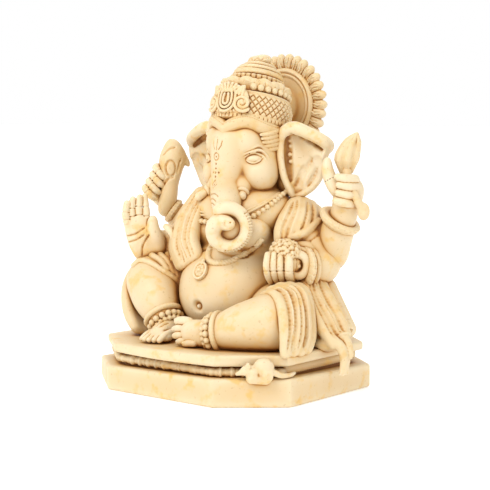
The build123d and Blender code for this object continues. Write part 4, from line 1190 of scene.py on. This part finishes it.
# ---------------------------------------------------------------- drapery
def make_drapery():
    low, high = limits("right_knee_drape")
    clay = Clay(low - 8, high + vec(24, 14, 12))
    rim = [(-33.0, -9.5, 45.0, 1.3), (-38.0, -12.0, 40.6, 1.5), (-38.4, -16.4, 34.4, 1.5),
           (-35.0, -20.2, 27.0, 1.4), (-29.6, -22.0, 20.4, 1.2)]
    clay.cloth([
        rim,
        [(-34.0, -6.5, 44.8, 2.0), (-39.4, -9.5, 38.0, 2.2), (-39.0, -13.4, 30.4, 2.1),
         (-34.6, -17.6, 23.4, 1.9),
         (-29.4, -20.2, 19.4, 1.2)],
        [(-31.0, 2.0, 41.6, 2.6), (-38.6, -2.0, 34.0, 2.8), (-37.4, -8.5, 26.0, 2.6),
         (-33.0, -13.0, 20.4, 2.0),
         (-28.6, -17.4, 18.6, 1.2)],
    ], 14, 3, 20, 0.3, 1.0)
    clay.pleats([
        [(-34, -4, 45), (-41, -8, 36), (-40, -12, 28), (-35, -17, 20)],
        [(-32, 4, 42), (-40, -2, 32), (-38, -8, 24), (-32, -13, 18)],
    ], 4, (-0.9, 0.1, 0.3), 0.9, 0.4)
    leg = clay_of("right_leg")
    away = quarter(0, 0, -1)
    over = [(-37.4, 43.0), (-34.8, 44.8), (-31.0, 44.2), (-27.0, 42.0), (-23.0, 39.4), (-20.0, 36.8)]
    over = leg.project([quarter(r, z, 14) for r, z in curve(over, 16)], away, 45)
    clay.tube(with_radius(over, 1.15), 0.3)
    clay.tube([*rim[:1], *rim], 0.4, 24)
    for top, foot in (((-30.6, 46.4), (-25.0, 41.8)), ((-27.6, 46.6), (-22.6, 40.6)),
                      ((-24.8, 46.6), (-20.6, 39.2)),
                      ((-22.0, 46.0), (-18.6, 38.2)), ((-19.4, 45.0), (-16.8, 37.4))):
        ridge = curve([top, ((top[0] + foot[0]) / 2 + 0.5, (top[1] + foot[1]) / 2 + 0.6), foot], 10)
        ridge = leg.project([quarter(r, z, 14) for r, z in ridge], away, 45)
        clay.tube(with_radius(ridge, 1.35), 0.2)
    piece("right_knee_drape", "resin_cloth", ["right_knee_drape"], clay)

    clay = clay_round("left_knee_drape", 10)
    folds = [
        quartered([(11.2, 36.6, 29, 1.0), (14.6, 37.4, 33.5, 1.2), (17.2, 33.4, 39.5, 1.4),
                   (18.2, 26.0, 44.0, 1.4), (18.0, 18.4, 45.5, 1.2)]),
        quartered([(15.2, 38.4, 27, 1.4), (19.0, 37.8, 32, 1.5), (21.0, 32.0, 38, 1.7),
                   (21.0, 25.0, 42, 1.6), (19.4, 18.8, 43.5, 1.3)]),
        quartered([(19.5, 38.8, 26, 1.6), (23.0, 36.8, 30, 1.8), (24.2, 31.0, 34, 2.0),
                   (24.2, 24.0, 38, 1.9), (23.0, 18.6, 40.0, 1.5)]),
        quartered([(24.0, 38.0, 23, 1.6), (25.6, 35.8, 26, 1.8), (26.6, 30.0, 29, 1.9),
                   (26.8, 23.0, 33, 1.9), (26.0, 18.8, 36.0, 1.5)]),
    ]
    clay.cloth(folds, 25, 4, 20, 0.4, 0.5, 0.1)
    clay.pleats(folds, 4, quarter(0.15, 0.3, 1), 0.85, 0.3)
    piece("left_knee_drape", "resin_cloth", ["left_knee_drape"], clay)

    clay = clay_round("right_shoulder_shawl", 9)
    folds = [
        [(-9.5, -1.0, 69.4, 1.8), (-10.4, -7.6, 62.0, 1.9), (-9.6, -11.6, 54.0, 1.8),
         (-5.6, -13.4, 48.2, 1.4)],
        [(-14.0, 0.4, 70.0, 2.0), (-15.0, -6.6, 62.0, 2.1), (-14.0, -11.0, 53.0, 2.0),
         (-8.8, -13.2, 46.4, 1.5)],
        [(-18.5, 3.0, 69.0, 2.2), (-19.8, -4.2, 60.5, 2.2), (-18.4, -9.4, 51.2, 2.1),
         (-12.4, -12.6, 44.8, 1.6)],
        [(-23.5, 7.0, 66.4, 2.3), (-24.0, -0.6, 58.6, 2.3), (-22.0, -6.6, 50.2, 2.2),
         (-16.0, -11.2, 43.8, 1.6)],
    ]
    clay.cloth(folds, 31, 5, 20, 0.4, 0.5)
    clay.pleats(folds, 5, quarter(-0.1, 0.3, 1), 0.8, 0.25)
    piece("right_shoulder_shawl", "resin_cloth", ["right_shoulder_shawl"], clay)

    clay = clay_round("left_shoulder_shawl", 9)
    folds = [
        quartered([(21.0, 66.8, 7, 1.2), (18.6, 62.8, 11.8, 1.3), (16.9, 58.4, 14.4, 1.3),
                   (16.6, 54.2, 15.6, 1.1)]),
        quartered([(22.6, 67.6, 6, 1.4), (20.8, 63.4, 12.2, 1.5), (18.8, 58.8, 14.8, 1.5),
                   (18.0, 54.2, 15.8, 1.3)]),
        quartered([(25.2, 67.6, 5, 1.6), (24.4, 64.0, 11.6, 1.7), (22.6, 59.4, 14.4, 1.7),
                   (20.8, 55.2, 15.4, 1.4)]),
        quartered([(28.0, 66.4, 3, 1.7), (28.0, 63.2, 9.4, 1.8), (27.0, 59.6, 12.8, 1.8),
                   (25.0, 56.0, 14.2, 1.5)]),
        quartered([(31.0, 64.2, 1, 1.7), (31.4, 61.8, 5.4, 1.7), (31.0, 59.2, 9.0, 1.5),
                   (29.4, 56.8, 11.0, 1.2)]),
    ]
    clay.cloth(folds, 29, 5, 16, 0.4, 0.5)
    clay.pleats(folds[:3], 2, quarter(0.1, 0.4, 1), 0.75, 0.3)
    clay.pleats(folds[2:], 2, quarter(0.1, 0.4, 1), 0.6, 0.3)
    clay.tube(quartered([(20.6, 55.6, 17.0, 0.9), (25.4, 57.4, 16, 1.3), (31.4, 61.4, 11.5, 1.1)]), 0.4, 12)
    piece("left_shoulder_shawl", "resin_cloth", ["left_shoulder_shawl"], clay)

    clay = clay_round("bolster_roll", 7)
    start, end = np.array([30.0, 12.2, 40.5, 4.2]), np.array([42.6, 10.8, 23.0, 3.8])
    aim = unit(end[:3] - start[:3])
    clay.add(limb(start, end))
    clay.cut(limb(np.append(end[:3] + aim * 2.6, 3.0), np.append(end[:3] + aim * 6, 3.4)), 0.4)
    clay.cut(limb(np.append(end[:3] + aim * 0.4, 1.8), np.append(end[:3] + aim * 6, 2.4)), 0.3)
    for place in (0.62, 0.68, 0.92):
        spot = start + (end - start) * place
        clay.tube(with_radius(hoop(spot[:3], aim, spot[3] + 0.05), 0.32), 0.3, cut=True)
    clay.tube([(31, 16, 36, 4.2), (41, 16, 22, 3.2)], 2.0)
    piece("bolster_roll", "resin_cloth", ["bolster_roll"], clay)

    clay = clay_round("hanging_shawl", 10)
    folds = [
        quartered([(25.6, 39.8, 19, 1.5), (28.0, 33.0, 24, 1.7), (31.0, 26.0, 28.5, 1.8),
                   (35.6, 19.4, 32.0, 1.5)]),
        quartered([(27.4, 40.0, 18, 1.6), (30.0, 33.0, 22.5, 1.8), (33.6, 26.0, 26.5, 1.9),
                   (37.4, 19.8, 30.5, 1.5)]),
        quartered([(29.2, 40.2, 16.5, 1.7), (32.2, 33.6, 20.5, 1.9), (35.8, 27.0, 24.5, 1.9),
                   (39.2, 21.0, 28.5, 1.5)]),
        quartered([(31.0, 40.4, 14, 1.7), (34.0, 34.0, 18, 1.9), (37.6, 28.0, 22, 1.8),
                   (40.2, 22.4, 26, 1.4)]),
    ]
    clay.cloth(folds, 25, 4, 18, 0.4, 0.5, 0.2)
    clay.pleats(folds, 4, quarter(0.3, 0.3, 1), 0.85, 0.25)
    clay.add(ball(quarter(33.0, 24.0, 22.0), (6.0, 7.0, 7.0)), 1.5)
    clay.add(ball(quarter(34.0, 19.0, 26.0), (5.0, 6.0, 3.0)), 1.5)
    sweep = quartered([(34.8, 21.0, 31.0, 1.6), (38.0, 18.6, 33.0, 1.6), (39.2, 14.6, 34.0, 1.3),
                       (38.6, 9.8, 34.4, 1.0)])
    clay.tube(sweep, 0.7, 14)
    clay.tube(quartered([(39.4, 21.8, 29.6, 1.7), (40.8, 19.0, 31.4, 1.5), (41.4, 15.6, 32.8, 1.2)]), 0.5,
              8)
    knot = quarter(39.4, 21.8, 29.8)
    clay.add(ball(knot, (1.9, 1.9, 1.7)), 0.4)
    for way in (-0.5, 0.5):
        clay.tube(with_radius(hoop(knot + vec(0, 0, way), vec(-0.5, 0.2, 0.8), 1.95, 20), 0.35), 0.2)
    for n in range(5):
        strand = quartered([(38.6 + 0.6 * n, 14.6, 34.4 - 0.4 * n, 0.55),
                            (38.2 + 0.55 * n, 11.6, 35.0 - 0.4 * n, 0.6),
                            (37.6 + 0.7 * n, 9.2, 35.2 - 0.4 * n, 0.4)])
        clay.tube(strand, 0.2, 7)
    piece("hanging_shawl", "resin_cloth", ["hanging_shawl"], clay)


# ---------------------------------------------------------------- jewellery
def make_jewellery():
    torso = clay_of("torso")
    low, high = limits("bead_necklace")
    clay = Clay(low - vec(9, 24, 12), high + 8, FINE)
    chest = Clay(vec(-30, -22, 52), vec(30, 34, 80))
    yoke = ball(vec(0, 6.6, 63.6), (21.5, 16.4, 11.0))
    column = limb(vec(0, 8.4, 66, 14.0), vec(0, 8.6, 73, 12.0))
    chest.add(yoke).add(column, 2.0)
    for side in (-1, 1):
        chest.add(ball(vec(side * 10.2, -2.2, 57.6), (7.4, 6.4, 6.1)), 2.0)
    chest.keep(slab([(-28, -20), (28, -20), (28, 32), (-28, 32)], 55.0, 77.0), 1.0)
    half = curve([(1.0, 60.4, 30), (5.3, 62.2, 30), (10.0, 64.6, 30), (14.5, 67.6, 30), (18.2, 70.4, 30)],
                 30)
    half = [quarter(*spot) for spot in half]
    fronts = [clay_below.project(half, quarter(0, 0, -1), 60) for clay_below in (chest, torso)]
    ahead = [front @ quarter(0, 0, 1) for front in fronts]
    level = np.pad(np.maximum(*ahead), 4, mode="edge")
    level = np.convolve(level, np.ones(9) / 9, mode="valid")
    front = fronts[0] + (level - ahead[0])[:, None] * quarter(0, 0, 1)
    loop = [*front[::-1], *(front * vec(-1, 1, 1))[1:], vec(-14, 19, 73.5), vec(0, 23, 74),
            vec(14, 19, 73.5), front[-1]]
    loop = curve(loop, 400)
    travel = np.cumsum(np.r_[0, np.linalg.norm(np.diff(loop, axis=0), axis=1)])
    for place in np.arange(0, travel[-1] - 1, 1.95):
        spot = vec(*(np.interp(place, travel, loop[:, axis]) for axis in range(3)))
        out = chest.slope([spot])[0]
        out = out if np.linalg.norm(out) > 0.5 else vec(0, 0, 1)  # flat where distances are clipped
        clay.add(ball(spot + out * 0.35, 1.0), 0.02)
    for lift, size in ((2.2, 0.45), (3.3, 0.4)):
        cord = chest.settle(loop[::6] + vec(0, 0, lift), 0.2)
        clay.tube(with_radius(cord, size), 0.05)
    piece("bead_necklace", "resin_ornament", ["bead_necklace"], clay)
    piece("neck", "resin_skin", ["neck"], chest)

    low, high = limits("chest_cord")
    clay = Clay(low - 5, high + 6, FINE)
    hang = [(-6.2, 56.5), (-7.4, 52.8), (-8.8, 49.2), (-8.2, 46.8), (-4.6, 46.3), (0.0, 47.3), (4.6, 49.4),
            (8.0, 52.0), (10.4, 54.8)]
    route = torso.project([quarter(r, z, 45) for r, z in curve(hang, 120)], quarter(0, 0, -1), 60)
    clay.tube(with_radius(route, 0.6), 0.0)
    heading = np.gradient(route, axis=0)
    outward = torso.slope(route)
    for strand in range(3):
        phase = 2 * math.pi * strand / 3 + np.arange(120) * 0.62
        aside = np.cross(heading / np.linalg.norm(heading, axis=1, keepdims=True), outward)
        twist = route + 0.62 * (np.cos(phase)[:, None] * outward + np.sin(phase)[:, None] * aside)
        clay.tube(with_radius(twist, 0.62), 0.0)
    piece("chest_cord", "resin_ornament", ["chest_cord"], clay)

    clay = clay_round("pendant", 5, FINE)
    spot = torso.project([quarter(-11.3, 43.2, 45)], quarter(0, 0, -1), 60)[0]
    out = torso.slope([spot])[0]
    aside = unit(np.cross(vec(0, 0, 1), out))
    up = np.cross(out, aside)
    clay.add(ball(spot + out * 0.2, (2.9, 1.2, 3.4), (aside, out, up)))
    rim = [spot + out * 1.0 + aside * 2.6 * math.cos(t) + up * 3.1 * math.sin(t)
           for t in np.linspace(0, 2 * math.pi, 30)]
    clay.tube(with_radius(rim, 0.4), 0.15)
    for a, b, size in ((0, 0, 0.75), (1.1, 1.0, 0.4), (-1.1, 1.0, 0.4), (1.1, -1.0, 0.4),
                       (-1.1, -1.0, 0.4), (0, 1.7, 0.4), (0, -1.7, 0.4)):
        clay.add(ball(spot + out * 1.3 + aside * a + up * b, size), 0.1)
    clay.tube([(*(spot + up * 2.9 + out * 0.8), 0.7), (*(spot + up * 4.0 + out * 0.5), 0.6)], 0.1)
    piece("pendant", "resin_ornament", ["pendant"], clay)


# ---------------------------------------------------------------- surface and colour
def box_blur(grid, reach):
    """Mean over a cube of (2 reach + 1) voxels a side."""
    for axis in range(3):
        padded = np.concatenate([
            np.zeros_like(np.take(grid, [0], axis)),
            np.cumsum(np.pad(grid, [(reach, reach) if a == axis else (0, 0) for a in range(3)],
                             mode="edge"), axis=axis, dtype=np.float32),
        ], axis)
        count = grid.shape[axis]
        ahead = np.take(padded, range(2 * reach + 1, 2 * reach + 1 + count), axis)
        grid = (ahead - np.take(padded, range(count), axis)) / (2 * reach + 1)
    return grid


def filled(field, step):
    """Share of each voxel that lies inside the surface."""
    return np.clip(0.5 - field / step, 0, 1).astype(np.float32)


def whole_figure():
    """How full of resin the space round each point is, at three reaches."""
    low = np.min([clay.first * clay.step for _, _, _, clay in pieces], 0)
    high = np.max([(clay.first + clay.field.shape) * clay.step for _, _, _, clay in pieces], 0)
    first = np.floor(low / LATTICE).astype(int) - 2
    field = np.full(np.ceil(high / LATTICE).astype(int) + 3 - first, FAR, np.float32)
    for _, _, _, clay in pieces:
        ratio = round(LATTICE / clay.step)
        coarse = clay.field[::ratio, ::ratio, ::ratio]
        start = clay.first // ratio - first
        part = tuple(slice(a, a + n) for a, n in zip(start, coarse.shape))
        field[part] = np.minimum(field[part], coarse)
    full = filled(field, LATTICE)
    near = box_blur(box_blur(full, 1), 1)
    middle_reach = box_blur(box_blur(full, 4), 3)
    wide = box_blur(box_blur(full, 11), 9)
    return first, near, middle_reach, wide


def ramp(value, low, high):
    """Smooth step from 0 at low to 1 at high."""
    t = np.clip((value - low) / (high - low), 0, 1)
    return t * t * (3 - 2 * t)


def build_mesh(name, clay, surroundings):
    grid = openvdb.FloatGrid(background=FAR)
    grid.copyFromArray(np.clip(clay.field, -FAR, FAR), tolerance=0.0)
    points, quads = grid.convertToQuads(0.0)
    points = (points + clay.first) * clay.step
    first, near, middle_reach, wide = surroundings
    own = box_blur(filled(clay.field, clay.step), 2 if clay.step == FINE else 1)
    small = 0.5 * sample_grid(own, clay.first, clay.step, points) + 0.5 * sample_grid(near, first, LATTICE,
                                                                                      points)
    medium = sample_grid(middle_reach, first, LATTICE, points)
    large = sample_grid(wide, first, LATTICE, points)
    # Hollow depth at three reaches: the fine crevices hold the real antiquing wash; medium and wide hollows
    # are darkened as painted shade.
    wash_and_shade = 0.75 * ramp(small, 0.53, 0.68) + 0.75 * ramp(medium, 0.52, 0.76) + 0.35 * ramp(large, 0.5, 0.8)
    # Painted shade: surfaces enclosed at medium and wide reach are turned towards a shaded tan.
    enclosed_shade = ramp(0.5 * medium + 0.5 * large, 0.3, 0.66)
    wear = ramp(-small, -0.44, -0.26)

    mesh = bpy.data.meshes.new(name)
    mesh.vertices.add(len(points))
    mesh.vertices.foreach_set("co", (points * MM).astype(np.float32).ravel())
    mesh.loops.add(len(quads) * 4)
    mesh.loops.foreach_set("vertex_index", quads[:, ::-1].astype(np.int32).ravel())
    mesh.polygons.add(len(quads))
    mesh.polygons.foreach_set("loop_start", np.arange(0, len(quads) * 4, 4, dtype=np.int32))
    mesh.update(calc_edges=True)
    mesh.shade_smooth()
    for label, values in (("wash_and_shade", np.clip(wash_and_shade, 0, 1)), ("wear", wear), ("enclosed_shade", enclosed_shade)):
        layer = mesh.attributes.new(label, "FLOAT", "POINT")
        layer.data.foreach_set("value", values.astype(np.float32))
    return mesh


def resin(name, ivory, ochre, stain, roughness):
    """Antiqued ivory resin: pale casting, ochre stains, brown wash and painted shade in the hollows."""
    material = bpy.data.materials.new(name)
    material.use_nodes = True
    tree = material.node_tree
    nodes, links = tree.nodes, tree.links
    nodes.clear()

    def node(kind, inputs=(), **settings):
        made = nodes.new(kind)
        for key, value in settings.items():
            setattr(made, key, value)
        for socket, value in dict(inputs).items():
            if isinstance(value, bpy.types.NodeSocket):
                links.new(value, made.inputs[socket])
            else:
                made.inputs[socket].default_value = value
        return made

    def maths(operation, first, second=0.0, third=0.0, clamp=False):
        return node("ShaderNodeMath", {0: first, 1: second, 2: third}, operation=operation,
                    use_clamp=clamp).outputs[0]

    def noise(scale, detail, shift=0.0):
        place = node("ShaderNodeMapping", {"Vector": where, "Location": (shift, shift * 0.7, 0)}).outputs[0]
        return node("ShaderNodeTexNoise", {"Vector": place, "Scale": scale,
                                           "Detail": detail}).outputs["Fac"]

    def span(value, low, high):
        return node("ShaderNodeMapRange", {"Value": value, "From Min": low, "From Max": high},
                    interpolation_type="SMOOTHSTEP").outputs[0]

    def blend(amount, under, over):
        return node("ShaderNodeMix", {"Factor": amount, 6: under, 7: over}, data_type="RGBA").outputs[2]

    where = node("ShaderNodeTexCoord").outputs["Object"]
    wash_and_shade = node("ShaderNodeAttribute", attribute_name="wash_and_shade").outputs["Fac"]
    wear = node("ShaderNodeAttribute", attribute_name="wear").outputs["Fac"]
    enclosed_shade = node("ShaderNodeAttribute", attribute_name="enclosed_shade").outputs["Fac"]

    broad = noise(90, 3, 0.0)
    patches = noise(240, 4, 3.1)
    specks = noise(900, 2, 7.7)
    stains = maths("MULTIPLY", span(patches, 0.48, 0.68), span(broad, 0.4, 0.6))
    colour = blend(span(broad, 0.3, 0.75), ivory, tuple(c * f for c,
                                                        f in zip(ivory, (0.98, 0.95, 0.88, 1))))
    # Painted shade: enclosed surfaces blended towards the shaded tan.
    colour = blend(maths("MULTIPLY", enclosed_shade, 0.9), colour, SHADED_TAN)
    colour = blend(maths("MULTIPLY", stains, stain), colour, ochre)
    uneven = maths("MULTIPLY_ADD", noise(420, 3, 5.3), 0.7, 0.65)
    # Brown in the hollows: the real antiquing wash in fine crevices, painted shade in the wider hollows.
    depth = maths("MULTIPLY", wash_and_shade, uneven, clamp=True)
    colour = blend(span(depth, 0.03, 0.5), colour, BROWN_WASH_AND_SHADE)
    colour = blend(span(depth, 0.32, 1.0), colour, DARK_WASH_AND_SHADE)
    colour = blend(maths("MULTIPLY", span(specks, 0.66, 0.72), 0.35), colour, SPECK_BROWN)
    colour = blend(maths("MULTIPLY", wear, 0.45), colour, WORN_IVORY)

    pits = span(specks, 0.64, 0.76)
    relief = maths("MULTIPLY_ADD", pits, -0.6, noise(1500, 3, 1.9))
    bump = node("ShaderNodeBump", {"Height": relief, "Strength": 0.25, "Distance": 0.00012}).outputs[0]
    gloss = maths("MULTIPLY_ADD", depth, 0.2, roughness)
    shader = node("ShaderNodeBsdfPrincipled", {
        "Base Color": colour, "Roughness": gloss, "Normal": bump, "IOR": 1.5, "Specular IOR Level": 0.35,
        "Subsurface Weight": 0.12, "Subsurface Radius": (1.0, 0.6, 0.3), "Subsurface Scale": 0.0012,
    })
    node("ShaderNodeOutputMaterial", {"Surface": shader.outputs[0]})
    return material


def make_materials():
    return {
        "resin_skin": resin("ivory_skin_resin", (0.73, 0.612, 0.415, 1), (0.70, 0.44, 0.12, 1), 0.7, 0.42),
        "resin_cloth": resin("ivory_cloth_resin", (0.70, 0.56, 0.345, 1), (0.66, 0.41, 0.12, 1), 0.65,
                             0.46),
        "resin_ornament": resin("ivory_ornament_resin", (0.69, 0.54, 0.32, 1), (0.64, 0.39, 0.11, 1), 0.55,
                                0.44),
        "resin_base": resin("ivory_base_resin", (0.71, 0.578, 0.37, 1), (0.70, 0.44, 0.13, 1), 0.85, 0.48),
    }


def build_pieces():
    surroundings = whole_figure()
    materials = make_materials()
    for name, slot, nodes, clay in pieces:
        made = bpy.data.objects.new(name, build_mesh(name, clay, surroundings))
        bpy.context.scene.collection.objects.link(made)
        made.data.materials.append(materials[slot])
        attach(made, "root")
        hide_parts(*nodes)


# ---------------------------------------------------------------- studio
def make_floor():
    mesh = bpy.data.meshes.new("floor")
    reach = 6.0
    mesh.from_pydata([(-reach, -reach, 0), (reach, -reach, 0), (reach, reach, 0), (-reach, reach, 0)], [],
                     [(0, 1, 2, 3)])
    floor = bpy.data.objects.new("floor", mesh)
    bpy.context.scene.collection.objects.link(floor)
    material = bpy.data.materials.new("white_sweep")
    material.use_nodes = True
    shader = material.node_tree.nodes["Principled BSDF"]
    shader.inputs["Base Color"].default_value = (0.97, 0.97, 0.97, 1)
    shader.inputs["Roughness"].default_value = 0.9
    shader.inputs["Emission Color"].default_value = (1, 1, 1, 1)
    shader.inputs["Emission Strength"].default_value = 0.25
    mesh.materials.append(material)


def direction_to(azimuth, pitch):
    """Unit vector out from the figure, in degrees round from its front and degrees up."""
    turn, rise = math.radians(azimuth), math.radians(pitch)
    return Vector((math.sin(turn) * math.cos(rise), -math.cos(turn) * math.cos(rise), math.sin(rise)))


def make_lights():
    world = bpy.data.worlds.new("studio")
    world.use_nodes = True
    world.node_tree.nodes["Background"].inputs[0].default_value = (1, 1, 1, 1)
    world.node_tree.nodes["Background"].inputs[1].default_value = 1.0
    bpy.context.scene.world = world
    target = Vector(LIGHT_TARGET)
    for name, azimuth, pitch, distance, size, watts in LIGHTS:
        light = bpy.data.lights.new(name, "AREA")
        light.size = size
        light.energy = watts
        lamp = bpy.data.objects.new(name, light)
        away = direction_to(azimuth, pitch)
        lamp.location = target + away * distance
        lamp.rotation_euler = away.to_track_quat("Z", "Y").to_euler()
        bpy.context.scene.collection.objects.link(lamp)


def make_camera():
    away = direction_to(QUARTER_TURN, VIEW_PITCH)
    data = bpy.data.cameras.new("camera")
    data.lens, data.sensor_width = VIEW_LENS, VIEW_SENSOR
    data.clip_start = 0.01
    camera = bpy.data.objects.new("camera", data)
    camera.location = Vector(VIEW_TARGET) + away * VIEW_DISTANCE
    camera.rotation_euler = away.to_track_quat("Z", "Y").to_euler()
    bpy.context.scene.collection.objects.link(camera)
    bpy.context.scene.camera = camera
    bpy.context.scene.view_settings.view_transform = "Standard"


make_base()
make_mouldings()
make_mouse()
make_torso()
make_head()
make_tusks()
make_ears()
make_temple_curls()
make_crown()
make_halo()
make_arms()
make_cuffs()
make_right_front_hand()
make_right_rear_hand()
make_left_rear_hand()
make_left_front_hand()
make_legs()
make_drapery()
make_jewellery()
build_pieces()
make_floor()
make_lights()
make_camera()
